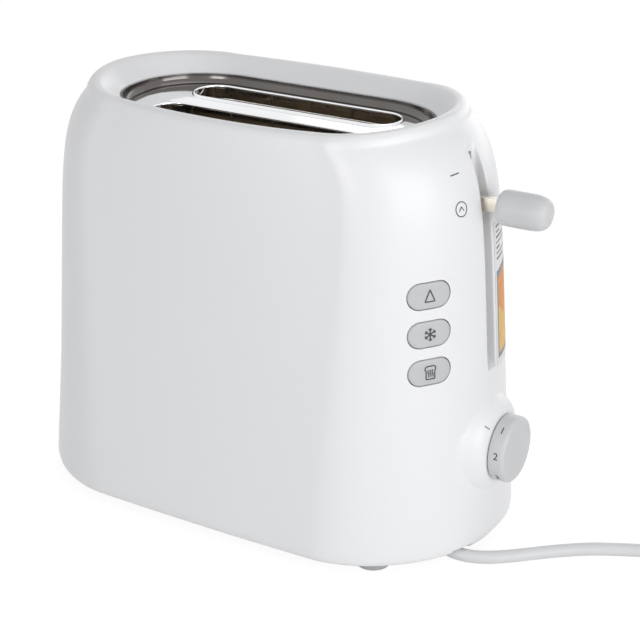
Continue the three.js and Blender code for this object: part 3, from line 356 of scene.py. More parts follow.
# %% Plug body and pins
PLUG_HEADING, PLUG_TILT = math.radians(110), math.radians(13.5)
PLUG_START = Vector(END_RUN[-1]) + Vector((math.cos(PLUG_HEADING), math.sin(PLUG_HEADING), 0)) * 0.4
PLUG_AXIS = Vector((math.cos(PLUG_HEADING) * math.cos(PLUG_TILT),
                    math.sin(PLUG_HEADING) * math.cos(PLUG_TILT), math.sin(PLUG_TILT)))
plug_profile = [(3.4, 0), (4.0, 0.1)]
rib_profile = [(4.2, 1), (4.3, 2.1), (3.8, 2.3), (3.8, 2.8)]
for rib in range(6):
    plug_profile += [(radius + rib * 0.2, along + rib * 2) for radius, along in rib_profile]
plug_profile += [(5.6, 13.4), (6.6, 14.2), (8, 15.4), (10.3, 18.2), (12.9, 22), (15.4, 26.4), (16.7, 30),
                 (17, 32), (17, 42.6), (16.8, 43.4), (16.2, 43.9), (15.4, 44)]
plug = mesh_piece("round_plug", *lathe(plug_profile, PLUG_START, 48, PLUG_AXIS), JACKET, 40)
adopt(plug, "toaster_body", "cord_jacket", "plug_body")
for node in ("plug_pin_1", "plug_pin_2"):
    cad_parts[node].data.materials.clear()
    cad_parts[node].data.materials.append(BRASS)

# %% [markdown]
# ## Strain relief
# Where the lead leaves the base it passes through a tapered rubber sleeve with rings, which stops
# it from kinking. The rings repeat along the taper, so Geometry Nodes place them: a line of points
# carries one ring each, and the ring's size follows its place on the line.

# %% A helper for node trees
class SizeTree:
    """A geometry node tree with an input for each named size."""

    def __init__(self, name, sizes):
        self.sizes = sizes
        self.tree = bpy.data.node_groups.new(name, "GeometryNodeTree")
        for label, value in sizes.items():
            kind = "NodeSocketInt" if isinstance(value, int) else "NodeSocketFloat"
            self.tree.interface.new_socket(label, in_out="INPUT", socket_type=kind)
        self.tree.interface.new_socket("Geometry", in_out="OUTPUT", socket_type="NodeSocketGeometry")
        self.start = self.tree.nodes.new("NodeGroupInput")

    def size(self, label):
        return self.start.outputs[label]

    def geometry(self, kind, links=None):
        """The first output of a new geometry node."""
        return add_node(self.tree, "GeometryNode" + kind, links).outputs[0]

    def sum(self, operation, a, b=0.0):
        return math_node(self.tree, operation, a, b)

    def vector(self, *parts):
        return add_node(self.tree, "ShaderNodeCombineXYZ", dict(enumerate(parts))).outputs[0]

    def close(self, geometry, finish):
        """Realize Instances and Set Material end every tree."""
        real = self.geometry("RealizeInstances", {"Geometry": geometry})
        painted = self.geometry("SetMaterial", {"Geometry": real, "Material": finish})
        add_node(self.tree, "NodeGroupOutput", {0: painted})


def grow(name, maker, move, angle=35):
    """Runs a tree with its sizes and keeps the result as a plain mesh, placed by a matrix."""
    holder = add_object(name + "_holder", bpy.data.meshes.new(name + "_holder"))
    modifier = holder.modifiers.new("grow", "NODES")
    modifier.node_group = maker.tree
    for item in maker.tree.interface.items_tree:
        if item.in_out == "INPUT":
            modifier[item.identifier] = maker.sizes[item.name]
    mesh = evaluated_mesh(holder)
    bpy.data.objects.remove(holder)
    mesh.name = name
    mesh.transform(move)
    crisp_by_angle(mesh, angle)
    return add_object(name, mesh)


def join_meshes(name, parts):
    """Several finished meshes as one object."""
    bm = bmesh.new()
    materials = []
    for part in parts:
        offset = []
        for m in part.data.materials:
            if m not in materials:
                materials.append(m)
            offset.append(materials.index(m))
        start = len(bm.faces)
        bm.from_mesh(part.data)
        bm.faces.ensure_lookup_table()
        for f in bm.faces[start:]:
            f.material_index = offset[f.material_index] if offset else 0
    mesh = bpy.data.meshes.new(name)
    bm.to_mesh(mesh)
    bm.free()
    for m in materials:
        mesh.materials.append(m)
    for part in parts:
        bpy.data.objects.remove(part)
    return add_object(name, mesh)


# %% Strain relief rings and sleeve
ring = SizeTree("relief_rings", {"Rings": 8, "Pitch": 2.4 * MM, "First Radius": 4.9 * MM,
                                 "Radius Step": -0.11 * MM, "Thickness": 0.55 * MM})
ring_line = ring.geometry("MeshLine", {
    "Count": ring.size("Rings"), "Offset": ring.vector(ring.size("Pitch"))})
ring_path = ring.geometry("CurvePrimitiveCircle", {"Resolution": 40, "Radius": 1.0})
ring_path = ring.geometry("Transform", {"Geometry": ring_path, "Rotation": (0, math.pi / 2, 0)})
ring_shrink = ring.sum("MULTIPLY", ring.geometry("InputIndex"), ring.size("Radius Step"))
ring_radius = ring.sum("ADD", ring_shrink, ring.size("First Radius"))
ring_places = ring.geometry("InstanceOnPoints", {
    "Points": ring_line, "Instance": ring_path, "Scale": ring.vector(ring_radius, ring_radius, ring_radius)})
ring_real = ring.geometry("RealizeInstances", {0: ring_places})
ring_section = ring.geometry("CurvePrimitiveCircle", {"Resolution": 8, "Radius": ring.size("Thickness")})
ring.close(ring.geometry("CurveToMesh", {"Curve": ring_real, "Profile Curve": ring_section}), JACKET)
rings = grow("relief_rings", ring, Matrix.Translation(place_mm(85, EXIT_Y, EXIT_Z)))
sleeve_profile = [(3.5, 75), (5.2, 75.2), (5.4, 75.6), (5.4, 80.3), (6, 80.4), (6, 82.4), (5.2, 82.6),
                  (4.1, 105.4), (3.6, 106), (3.3, 106)]
sleeve = mesh_piece("relief_sleeve", *lathe(sleeve_profile, (0, EXIT_Y, EXIT_Z), 40), JACKET, 40)
relief = join_meshes("strain_relief", [sleeve, rings])
adopt(relief, "toaster_body", "cord_jacket", "cord_gland")

# %% [markdown]
# The coil is held by a small tie, as a lead comes from its maker. It is a flat band bent round the
# three turns, and it rides along with the lead.

# %% Coil tie
def coil_tie():
    """A band about the coil's section, at the side away from the toaster."""
    angle, half_width, thickness, middle_height = math.radians(60), 2, 0.45, 5.5
    radial = Vector((math.cos(angle), math.sin(angle), 0))
    tangent = Vector((-math.sin(angle), math.cos(angle), 0))
    centre = Vector((*COIL_CENTRE, middle_height)) + radial * COIL_RADIUS
    right = [(6.9, 0.35), (7.2, 1.6), (7.1, 5), (4.6, 10.6), (1.4, 12.75)]
    outline = [(-6.9, 0.35)] + right + [(-r, z) for r, z in right[:0:-1]]
    rings = []
    for along, inset in ((-half_width, thickness), (-half_width, 0),
                         (half_width, 0), (half_width, thickness)):
        ring = []
        for r, z in outline:
            p = Vector((r, z - middle_height))
            p *= 1 - inset / p.length
            ring.append(centre + radial * p.x + tangent * along + Vector((0, 0, p.y)))
        rings.append(ring)
    return skin(rings, closed=True)


tie = mesh_piece("coil_tie", *coil_tie(), PALE_PLASTIC, 50)
face_outwards(tie)
crisp_by_angle(tie.data, 50)
adopt(tie, "toaster_body", "plastic_pale")

# %% [markdown]
# ## Moulded body
# The body is one hollow moulding: an oblong with full round corners that leans in towards the top
# and turns over a soft shoulder into a raised rim. It could be modelled as a box with subdivision,
# but the lean and the corners follow a rule, so the skin is made from rings. Each ring is the
# outline at one height. The groove for the lever belongs to the rings as well, which gives it
# rounded edges that a cut would not have.

# %% The rule of the outline
FLOOR_GAP, WALL_TOP, WALL = 5.8, 214.2, 2.6
GROOVE_HALF, GROOVE_FLOOR, GROOVE_EDGE, GROOVE_WALL = 4.3, 107.4, 0.9, 1.8
GROOVE_BOTTOM = 94.5
CORNER_POWER, RIM_DIP = 1.81, 3.5
LIP = dict(half_x=85.6, half_y=40.4, corner_x=42, corner_y=38, bulge=0, power=2)


def body_plan(z, inset=0.0):
    """The body's plan at a height, pulled in by an inset."""
    rise = min(1, max(0, (z - FLOOR_GAP) / (WALL_TOP - FLOOR_GAP)))
    half_y = 75.6 - 18.9 * rise
    return dict(half_x=131.3 - 14.5 * rise - 15 * rise ** 14 - inset, half_y=half_y - inset,
                corner_x=67.2 - 24.7 * rise - inset, corner_y=min(69.2, half_y - 0.6) - inset,
                bulge=1 + 4.5 * rise ** 2, power=CORNER_POWER)


def mix_plans(a, b, share):
    return {key: a[key] + (b[key] - a[key]) * share for key in a}


def end_reach(plan, y):
    """How far the end wall reaches along X at a distance y from the middle."""
    over = max(0, abs(y) - (plan["half_y"] - plan["corner_y"])) / plan["corner_y"]
    power = plan["power"]
    return plan["half_x"] - plan["corner_x"] + plan["corner_x"] * max(0, 1 - over ** power) ** (1 / power)


def groove_section(plan, depth_share, grow_by):
    """Half the groove's section from its middle to its edge, as (x, y)."""
    half, edge = GROOVE_HALF + grow_by, GROOVE_EDGE
    depth = max(0, end_reach(plan, 0) - (GROOVE_FLOOR - grow_by))
    fit = min(1, depth / (half + edge))
    wide = GROOVE_HALF + GROOVE_WALL + GROOVE_EDGE
    section = []
    for t in np.linspace(0, math.pi / 2, 9):
        section.append((depth - half * fit * (1 - math.cos(t)), half * math.sin(t)))
    for t in np.linspace(0, math.pi / 2, 7):
        section.append((edge * fit * (1 - math.sin(t)), half + (wide - half) * (1 - math.cos(t))
                        if grow_by else half + edge * (1 - math.cos(t))))
    section.append((0, wide))
    return [(end_reach(plan, y) - d * depth_share, y) for d, y in section]


CORNER_STEPS, SIDE_STEPS = 28, 7
DIP_POWER = 2.9  # how flat the rim's dip stays before it rises to the ends


def body_ring(plan, z, dip=0.0, groove=0.0, grow_by=0.0):
    """One ring of the body, anticlockwise from the middle of the lever end."""
    groove_half = groove_section(plan, groove, grow_by)
    start_y = groove_half[-1][1]
    power = plan["power"]
    base = max(0, start_y - (plan["half_y"] - plan["corner_y"])) / plan["corner_y"]
    first = math.asin(min(1, base ** (power / 2)))
    corner = []
    for i in range(1, CORNER_STEPS):
        t = first + (math.pi / 2 - first) * i / CORNER_STEPS
        corner.append((plan["half_x"] - plan["corner_x"] + plan["corner_x"] * math.cos(t) ** (2 / power),
                       plan["half_y"] - plan["corner_y"] + plan["corner_y"] * math.sin(t) ** (2 / power)))
    straight = plan["half_x"] - plan["corner_x"]
    for i in range(SIDE_STEPS):
        x = straight * (1 - i / SIDE_STEPS)
        corner.append((x, plan["half_y"] + plan["bulge"] * (1 - (x / straight) ** 2)))
    plain_half = [(end_reach(plan, y), y) for _, y in groove_half]
    middle = [(0, plan["half_y"] + plan["bulge"])]
    loop = groove_half + corner + middle
    loop += [(-x, y) for x, y in corner[::-1] + plain_half[:0:-1]]
    loop += [(-x, -y) for x, y in plain_half + corner]
    loop += [(x, -y) for x, y in middle + (groove_half[1:] + corner)[::-1]]
    return [(x, y, z - dip * (1 - min(1, abs(x / plan["half_x"])) ** DIP_POWER)) for x, y in loop]


def groove_depth(z):
    """The groove runs in softly at its lower end and dies out at the shoulder by itself."""
    t = min(1, max(0, (z - GROOVE_BOTTOM) / 6))
    return t * t * (3 - 2 * t)


def wall_dip(z):
    return RIM_DIP * ((z - FLOOR_GAP) / (WALL_TOP - FLOOR_GAP)) ** 2


# %% Rings from the foot, over the rim, and back down inside
wall_heights = np.concatenate([np.linspace(12, 90, 12), np.linspace(94, 102, 11),
                               np.linspace(106, 184, 13), np.linspace(187, 214.2, 24)])
shell_rings = []
RIM_TOP, LIP_DROP = 220, 10.2


def add_ring(plan, z, *more):
    shell_rings.append(body_ring(plan, z, *more))


for inset, up in rounded([(3.2, 0), (1.9, 0.5), (0.8, 1.7), (0.2, 3.6), (0, 5.2)], 2)[:-1]:
    add_ring(body_plan(FLOOR_GAP + up, inset), FLOOR_GAP + up)
for z in wall_heights:
    add_ring(body_plan(z), z, wall_dip(z), groove_depth(z))
for inset, up in rounded([(0, 0), (0.9, 3.2), (2.6, 5.2), (4.6, 5.8)], 4)[1:]:
    add_ring(body_plan(WALL_TOP, inset), WALL_TOP + up, RIM_DIP)
rim_plan = body_plan(WALL_TOP, 4.6)
slope = [(0, 0), (0.3, 0.12), (0.6, 0.45), (0.82, 0.75), (0.985, 0.95), (1, 1.03)]
for inward, down in rounded(slope, 4)[1:]:
    add_ring(mix_plans(rim_plan, LIP, inward), RIM_TOP - LIP_DROP * down, RIM_DIP * max(0, 1 - down))
for inward, down in [(1, 1)] + slope[3::-1]:
    add_ring(mix_plans(rim_plan, LIP, inward), RIM_TOP - LIP_DROP * down - WALL, RIM_DIP * (1 - down))
for z in np.concatenate([np.linspace(208, 186, 8), np.linspace(180, 104, 8), np.linspace(101, 93, 9),
                         [60, 30, 12]]):
    add_ring(body_plan(z, WALL), z, wall_dip(z), groove_depth(z + 1), GROOVE_WALL)
add_ring(body_plan(10.3, 3), 10.3)
add_ring(body_plan(FLOOR_GAP, 5), FLOOR_GAP)
shell = mesh_piece("moulded_body", *skin(shell_rings, closed=True), WHITE_GLOSS, 38)
face_outwards(shell)
print("shell rings", len(shell_rings), "of", len(shell_rings[0]), "points")

# %% [markdown]
# The remaining openings are plain cuts: the slit for the lever arm, three button holes, the shaft
# hole, the crumb tray's mouth and the notch for the lead. They are gathered and taken out with
# exact Boolean modifiers. The round boss behind the dial is added the same way.

# %% Cutting tools
BUTTON_MIDDLE, BUTTON_PITCH = 124.4, 19
BUTTON_WIDTH, BUTTON_HEIGHT = 22.4, 12.7
FACING = math.radians(-33.8)
OUT = Vector((math.cos(FACING), math.sin(FACING), 0))
ALONG = Vector((-math.sin(FACING), math.cos(FACING), 0))
BUTTON_SPOT = Vector((131.3 - 21.5, -39, 0))
BUTTON_HEIGHTS = {label: BUTTON_MIDDLE + BUTTON_PITCH * row
                  for label, row in (("cancel", 1), ("defrost", 0), ("reheat", -1))}


def pill_outline(length, width, steps=14):
    """An oblong with half-round ends, anticlockwise, as (along, up)."""
    r, reach = width / 2, length / 2 - width / 2
    right = [(reach + r * math.cos(t), r * math.sin(t))
             for t in np.linspace(-math.pi / 2, math.pi / 2, steps)]
    return right + [(-x, -y) for x, y in right]


def inside_body(p):
    plan = body_plan(p.z)
    x, y = abs(p.x), abs(p.y)
    straight = plan["half_x"] - plan["corner_x"]
    if x <= straight:
        return y <= plan["half_y"] + plan["bulge"] * (1 - (x / straight) ** 2)
    return y <= plan["half_y"] and x <= end_reach(plan, y)


def wall_point(along, z):
    """The point of the outer wall in front of the button column."""
    near, far = -15.0, 15.0
    for _ in range(24):
        middle = (near + far) / 2
        if inside_body(in_front(along, z, middle)):
            near = middle
        else:
            far = middle
    return in_front(along, z, near)


def block(x0, x1, y0, y1, z0, z1):
    return skin([[(x0, y0, z), (x1, y0, z), (x1, y1, z), (x0, y1, z)] for z in (z0, z1)],
                cap_start=True, cap_end=True)


def in_front(along, up, out):
    """A point seen from the buttons: along the column's width, up, and out of the wall."""
    return BUTTON_SPOT + ALONG * along + OUT * out + Vector((0, 0, up))


def prism(outline, z, inner, outer):
    """A straight tool along the buttons' facing direction."""
    rings = [[in_front(a, z + b, out) for a, b in outline] for out in (inner, outer)]
    return skin(rings, cap_start=True, cap_end=True)


def boolean(target, tool, operation):
    """Applies one exact Boolean and removes the tool."""
    modifier = target.modifiers.new("cut", "BOOLEAN")
    modifier.object, modifier.operation, modifier.solver = tool, operation, "EXACT"
    apply_modifiers(target)
    bpy.data.objects.remove(tool)


DIAL_Z, BOSS_FACE = 54.2, 131.6
DIAL_AXIS_AT_BOSS = (BOSS_FACE, 0, DIAL_Z)
boss_profile = rounded([(31, -13.4), (27.6, -9.4), (25.2, -5.8), (23.4, -3.5), (21, -1.6), (18.6, -0.4),
                        (17.2, 0)], 4)
boolean(shell, mesh_piece("boss", *lathe(boss_profile, DIAL_AXIS_AT_BOSS, 96), WHITE_GLOSS), "UNION")
hollow_profile = [(22, -34), (22, -8.8), (17, -3.4), (17, -3)]
tools = [
    lathe(hollow_profile, DIAL_AXIS_AT_BOSS, 48),
    lathe([(3.5, -40), (3.5, 8)], DIAL_AXIS_AT_BOSS, 24),  # the dial's shaft
    block(97, 113.4, -2.5, 2.5, 97.6, 202.6),  # the arm's slit
    block(-136, -60, -40.5, 40.5, 9.4, 19.5),  # the crumb tray's mouth
    block(106, 136, -33.5, -21.5, 0, 8.2),  # the lead's notch
]
hole_outline = pill_outline(BUTTON_WIDTH + 0.9, BUTTON_HEIGHT + 0.9, 20)
tools += [prism(hole_outline, z, -16, 6) for z in BUTTON_HEIGHTS.values()]
for points, faces in tools:
    boolean(shell, mesh_piece("tool", points, faces, WHITE_GLOSS), "DIFFERENCE")
face_outwards(shell)
crisp_by_angle(shell.data, 38)
adopt(shell, "toaster_body", "shell_white", "housing_shell")

# %% [markdown]
# ## Chrome slot tray
# A pressed and plated sheet is let into the top. It has a flat floor with two pill-shaped slots,
# each with a rolled bead and a collar that guides the bread, and a low wall round the outside that
# meets the moulding's lip. The wall reads much darker than the plate; that darkness is painted shade, a
# dark chrome colour standing for the shadowed reflection under the lip. The floor is filled between
# three loops, and everything else is skin.

# %% Slot tray
TRAY_PLATE, SLOT_Y = 204.6, 19.5
SLOT_LENGTH, SLOT_WIDTH = 119, 22.6
# bead and collar: (distance out from the slot's edge, height above the plate)
bead_profile = rounded([(1.9, 0), (1.6, 0.5), (1.1, 0.95), (0.55, 1.0), (0.12, 0.65), (0, 0.1), (0, -1.5)],
                       3) + [(0, -5.4)]
wall_profile = rounded([(5.6, 0), (3.7, 0.3), (2.3, 1.2), (1.5, 2.7), (1.12, 4.9)], 3)


def slot_ring(side, out, up):
    outline = pill_outline(SLOT_LENGTH + 2 * out, SLOT_WIDTH + 2 * out, 22)
    return [(x, y + side * SLOT_Y, TRAY_PLATE + up) for x, y in outline]


def lip_ring(inset, z):
    """The lip's outline, anticlockwise: four quarter ellipses and the straight runs between them."""
    half_x, half_y, corner_x, corner_y = (
        LIP[key] - inset for key in ("half_x", "half_y", "corner_x", "corner_y"))
    ring = []
    for quarter in range(4):
        side_x = 1 if quarter in (0, 3) else -1
        side_y = 1 if quarter < 2 else -1
        for t in np.linspace(0, math.pi / 2, 20) + quarter * math.pi / 2:
            ring.append((side_x * (half_x - corner_x) + corner_x * math.cos(t),
                         side_y * (half_y - corner_y) + corner_y * math.sin(t), z))
    return ring


def chrome_tray():
    """The plate between three loops, with the beads and the outer wall joined on."""
    bm = bmesh.new()

    def add_skin(rings):
        points, faces = skin(rings)
        made = [bm.verts.new(place_mm(*p)) for p in points]
        for f in faces:
            bm.faces.new([made[i] for i in f])
        return made

    wall = [lip_ring(inset, TRAY_PLATE + up) for inset, up in wall_profile]
    loops = [add_skin([ring[::-1] for ring in wall])[:len(wall[0])]]
    # the wall faces take the dark chrome that paints the shade under the lip
    for face in bm.faces:
        face.material_index = 1
    for side in (-1, 1):
        bead = [slot_ring(side, out, up) for out, up in bead_profile]
        loops.append(add_skin(bead[::-1])[-len(bead[0]):])
    corners = [v for loop in loops for v in loop]
    for triangle in tessellate_polygon([[v.co.copy() for v in loop] for loop in loops]):
        plate_face = bm.faces.new([corners[i] for i in triangle])
    bmesh.ops.recalc_face_normals(bm, faces=bm.faces)
    if plate_face.normal.z < 0:
        bmesh.ops.reverse_faces(bm, faces=bm.faces)
    mesh = bpy.data.meshes.new("slot_tray_chrome")
    bm.to_mesh(mesh)
    bm.free()
    mesh.materials.append(CHROME)
    mesh.materials.append(SHADE_PAINTED_CHROME)
    return mesh


def thicken(piece, thickness_mm):
    """Gives a sheet its thickness, below the modelled side."""
    sheet = piece.modifiers.new("sheet", "SOLIDIFY")
    sheet.thickness, sheet.offset = thickness_mm * MM, -1
    apply_modifiers(piece)


tray = add_object("slot_tray_chrome", chrome_tray())
thicken(tray, 0.6)
crisp_by_angle(tray.data, 40)
adopt(tray, "toaster_body", "chrome", "slot_tray")

# %% [markdown]
# ## Lever knob
# A soft round-ended knob on the lever. Its radius follows one rule along its length, so a node tree
# makes it: a grid is rolled up, and every point's radius comes from a super-ellipse. A power above
# two gives the blunt ends of a real grip, and the end against the body is blunter than the outer one.

# %% Knob tree
KNOB_START, KNOB_LENGTH, KNOB_RADIUS, LEVER_Z = 125.55, 25.7, 8.7, 178.8
grip = SizeTree("knob_by_rule", {"Length": KNOB_LENGTH * MM, "Radius": KNOB_RADIUS * MM,
                                 "Outer Bluntness": 3.5, "Inner Bluntness": 8.0})
grid = grip.geometry("MeshGrid", {"Size X": 2.0, "Size Y": 2 * math.pi, "Vertices X": 65, "Vertices Y": 73})
along, around = add_node(grip.tree, "ShaderNodeSeparateXYZ", {0: grip.geometry("InputPosition")}).outputs[:2]
# crowd the rings towards the two ends: u = sin(x * 90 degrees)
u = grip.sum("SINE", grip.sum("MULTIPLY", along, math.pi / 2))
extra_blunt = grip.sum("SUBTRACT", grip.size("Inner Bluntness"), grip.size("Outer Bluntness"))
inner_extra = grip.sum("MULTIPLY", grip.sum("LESS_THAN", u, 0.0), extra_blunt)
blunt = grip.sum("ADD", grip.size("Outer Bluntness"), inner_extra)
# radius = (1 - |u| ** blunt) ** (1 / blunt)
left_over = grip.sum("SUBTRACT", 1.0, grip.sum("POWER", grip.sum("ABSOLUTE", u), blunt))
root = grip.sum("POWER", grip.sum("MAXIMUM", left_over, 0.0), grip.sum("DIVIDE", 1.0, blunt))
radius = grip.sum("MULTIPLY", root, grip.size("Radius"))
rolled_up = grip.vector(grip.sum("MULTIPLY", grip.sum("MULTIPLY", u, 0.5), grip.size("Length")),
                        grip.sum("MULTIPLY", radius, grip.sum("COSINE", around)),
                        grip.sum("MULTIPLY", radius, grip.sum("SINE", around)))
grid = grip.geometry("SetPosition", {"Geometry": grid, "Position": rolled_up})
grip.close(grip.geometry("MergeByDistance", {"Geometry": grid, "Distance": 0.00002}), SATIN_GREY)
knob_middle = place_mm(KNOB_START + KNOB_LENGTH / 2, 0, LEVER_Z)
knob = grow("lever_knob_grip", grip, Matrix.Translation(knob_middle))
face_outwards(knob)
crisp_by_angle(knob.data, 50)
adopt(knob, "carriage", "plastic_grey", "lever_knob")

# %% [markdown]
# The arm is a stamped strip that carries the knob through the slit. A stamped part has no sharp
# edges, so its box gets a small bevel all round.

# %% Lever arm
ARM_WIDTH, ARM_HEIGHT = 3, 7
arm = mesh_piece("lever_arm_strip", *block(81.7, 132, -ARM_WIDTH / 2, ARM_WIDTH / 2, LEVER_Z - ARM_HEIGHT / 2,
                                           LEVER_Z + ARM_HEIGHT / 2), ZINC)
edge = arm.modifiers.new("edges", "BEVEL")
edge.width, edge.segments, edge.limit_method = 0.5 * MM, 3, "NONE"
apply_modifiers(arm)
crisp_by_angle(arm.data, 50)
adopt(arm, "carriage", "zinc_arm", "lever_arm")

# %% [markdown]
# ## Browning dial
# A plain round dial with a softly broken edge, and numbers printed round its side near the front.
# The numbers are real type, wrapped onto the cylinder: a letter's width runs along the axis and its
# height runs round the dial.

# %% Dial
DIAL_BACK, DIAL_RADIUS = 132.2, 16.9
dial_profile = [(16.3, 0), (16.75, 0.15), (16.9, 0.6), (16.9, 6.2), (16.8, 6.9), (16.45, 7.6), (15.8, 8.1),
                (14.9, 8.35), (14, 8.4), (9, 8.4), (3, 8.4)]
dial_body = mesh_piece("dial_turned", *lathe(dial_profile, (DIAL_BACK, 0, DIAL_Z), 96), SATIN_GREY, 50)


def type_mesh(text, height_mm):
    """Type as a flat mesh, as millimetre points and faces."""
    curve = bpy.data.curves.new("type", "FONT")
    curve.body, curve.size = text, height_mm / 0.7
    curve.align_x, curve.align_y = "CENTER", "CENTER"
    curve.resolution_u = 4
    curve.offset = 0.05
    holder = add_object("type", curve)
    mesh = evaluated_mesh(holder)
    # small faces, so that the type can follow the dial's roundness
    bm = bmesh.new()
    bm.from_mesh(mesh)
    bmesh.ops.triangulate(bm, faces=bm.faces)
    bmesh.ops.subdivide_edges(bm, edges=bm.edges, cuts=2, use_grid_fill=True)
    bm.to_mesh(mesh)
    bm.free()
    points = [tuple(v.co) for v in mesh.vertices]
    faces = [tuple(f.vertices) for f in mesh.polygons]
    bpy.data.objects.remove(holder)
    bpy.data.meshes.remove(mesh)
    return points, faces


def wrap_on_dial(points, degrees):
    """Wraps flat points onto the dial's side; the angle is counted from -Y upwards."""
    radius = DIAL_RADIUS + 0.07
    placed = []
    for a, b, _ in points:
        t = math.radians(degrees) + b / radius
        placed.append((NUMBER_X + a, -radius * math.cos(t), DIAL_Z + radius * math.sin(t)))
    return placed


NUMBER_X, NUMBER_HEIGHT, FIRST_NUMBER_AT, NUMBER_STEP = 136.3, 3.6, 54, 46
numbers = []
for i in range(6):
    points, faces = type_mesh(str(i + 1), NUMBER_HEIGHT)
    points = wrap_on_dial(points, FIRST_NUMBER_AT - NUMBER_STEP * i)
    numbers.append(mesh_piece(f"number_{i + 1}", points, faces, INK))
dial = join_meshes("browning_dial_knob", [dial_body] + numbers)
crisp_by_angle(dial.data, 50)
adopt(dial, "dial", "plastic_grey", "browning_dial")

# %% [markdown]
# ## Push buttons
# Three pill-shaped buttons follow the corner they sit in, so their faces are curved both ways. Each
# face is laid over the wall's own surface, stands half a millimetre proud, and rolls over at its
# edge. The same mapping carries the printed signs.

# %% Button caps
PROUD, BUTTON_DEPTH, INK_LIFT = 0.5, 8, 0.06


def button_cap(name, z):
    """A cap from its flat back to its curved face, which is closed by rows of four-sided faces."""
    outline = pill_outline(BUTTON_WIDTH, BUTTON_HEIGHT, 20)
    spine_half = (BUTTON_WIDTH - BUTTON_HEIGHT) / 2
    rings = []
    # share of the way from the spine to the edge, and the drop there
    for share, drop in ((0.0, 0.0), (0.25, 0.0), (0.5, 0.0), (0.7, 0.0), (0.84, -0.02), (0.92, -0.1),
                        (0.965, -0.28), (0.99, -0.55), (1, -0.9)):
        ring = []
        for a, b in outline:
            spine = max(-1, min(1, a / spine_half)) * spine_half
            ring.append(wall_point(spine + (a - spine) * share, z + b * share) + OUT * (PROUD + drop))
        rings.append(ring)
    rings.append([in_front(a, z + b, -BUTTON_DEPTH) for a, b in outline])
    points, faces = skin(rings[::-1], cap_start=True)
    top, count = (len(rings) - 1) * len(outline), len(outline)
    for i in range(count // 2 - 1):
        faces.append((top + i, top + i + 1, top + count - 2 - i, top + count - 1 - i))
    return mesh_piece(name, points, faces, BUTTON_GREY, 60)


def stroke(path, width, closed=False):
    """A flat ribbon along a path of (along, up) points."""
    count = len(path)
    left, right = [], []
    for i, p in enumerate(path):
        before = path[(i - 1) % count] if closed or i > 0 else p
        after = path[(i + 1) % count] if closed or i < count - 1 else p
        way = Vector((after[0] - before[0], after[1] - before[1])).normalized()
        side = Vector((-way.y, way.x)) * width / 2
        left.append((p[0] + side.x, p[1] + side.y))
        right.append((p[0] - side.x, p[1] - side.y))
    faces = []
    for i in range(count if closed else count - 1):
        j = (i + 1) % count
        faces.append((i, count + i, count + j, j))
    return left + right, faces


def densify(path, closed=False, step=0.4):
    """More points along a path, so that a print can follow a curved face."""
    ends = path + [path[0]] if closed else path
    out = []
    for a, b in zip(ends, ends[1:]):
        n = max(1, int(math.dist(a, b) / step))
        out += [(a[0] + (b[0] - a[0]) * i / n, a[1] + (b[1] - a[1]) * i / n) for i in range(n)]
    return out if closed else out + [ends[-1]]


def print_strokes(marks, place):
    """Marks as strokes, with every flat point laid on a surface by place(along, up)."""
    points, faces = [], []
    for path, width, closed in marks:
        flat, quads = stroke(densify(path, closed), width, closed)
        start = len(points)
        points += [place(a, b) for a, b in flat]
        faces += [tuple(start + i for i in quad) for quad in quads]
    return points, faces


def circle_path(radius):
    return [(radius * math.cos(t), radius * math.sin(t))
            for t in np.linspace(0, 2 * math.pi, 40, endpoint=False)]


def snowflake(size=3.2):
    marks = []
    for i in range(6):
        t = math.radians(60 * i + 30)
        tip = (size * math.cos(t), size * math.sin(t))
        marks.append(([(0, 0), tip], 0.62, False))
        for turn in (-0.75, 0.75):
            knee = (0.6 * tip[0], 0.6 * tip[1])
            end = (knee[0] + 1.2 * math.cos(t + turn), knee[1] + 1.2 * math.sin(t + turn))
            marks.append(([knee, end], 0.56, False))
    return marks


def bread_sign():
    right = [(2.3, -3.3), (2.3, 0.8), (2.85, 1.5), (2.7, 2.6), (1.7, 3.2)]
    left = [(-a, b) for a, b in right]
    marks = [(left[:1] + right + left[:0:-1], 0.56, True)]
    for a in (-1.1, 0, 1.1):
        marks.append(([(a, -2.2), (a + 0.32, -1.1), (a - 0.32, 0.2), (a, 1.4)], 0.48, False))
    return marks


triangle_sign = [([(-2.6, -2.7), (2.6, -2.7), (0, 3.1)], 0.56, True)]
signs = dict(cancel=triangle_sign, defrost=snowflake(), reheat=bread_sign())
for label, z in BUTTON_HEIGHTS.items():
    cap = button_cap(label + "_cap", z)
    face_outwards(cap)
    sign = mesh_piece(label + "_sign", *print_strokes(
        signs[label], lambda a, b: wall_point(a, z + b) + OUT * (PROUD + INK_LIFT)), INK)
    button = join_meshes(label + "_button_cap", [cap, sign])
    crisp_by_angle(button.data, 60)
    adopt(button, label + "_button", "plastic_grey", label + "_button")

# %% [markdown]
# ## Marks on the body
# The moulding carries a short dash and a ringed caret beside the groove, and a small index line on
# the boss for the dial's numbers. They are printed, so they are thin ribbons a hair off the surface.

# %% Marks by the groove and on the boss
def on_end_wall(y, z, lift=0.07):
    return Vector((end_reach(body_plan(z), y) + lift, y, z))


def on_boss(a, b):
    """A point of the boss's flare, at a distance a from the dial's axis along the index line."""
    behind = np.interp(-a, [-r for r, _ in boss_profile], [d for _, d in boss_profile])
    return Vector((BOSS_FACE + behind + 0.09, -(a * math.cos(INDEX_TURN) - b * math.sin(INDEX_TURN)),
                   DIAL_Z + a * math.sin(INDEX_TURN) + b * math.cos(INDEX_TURN)))


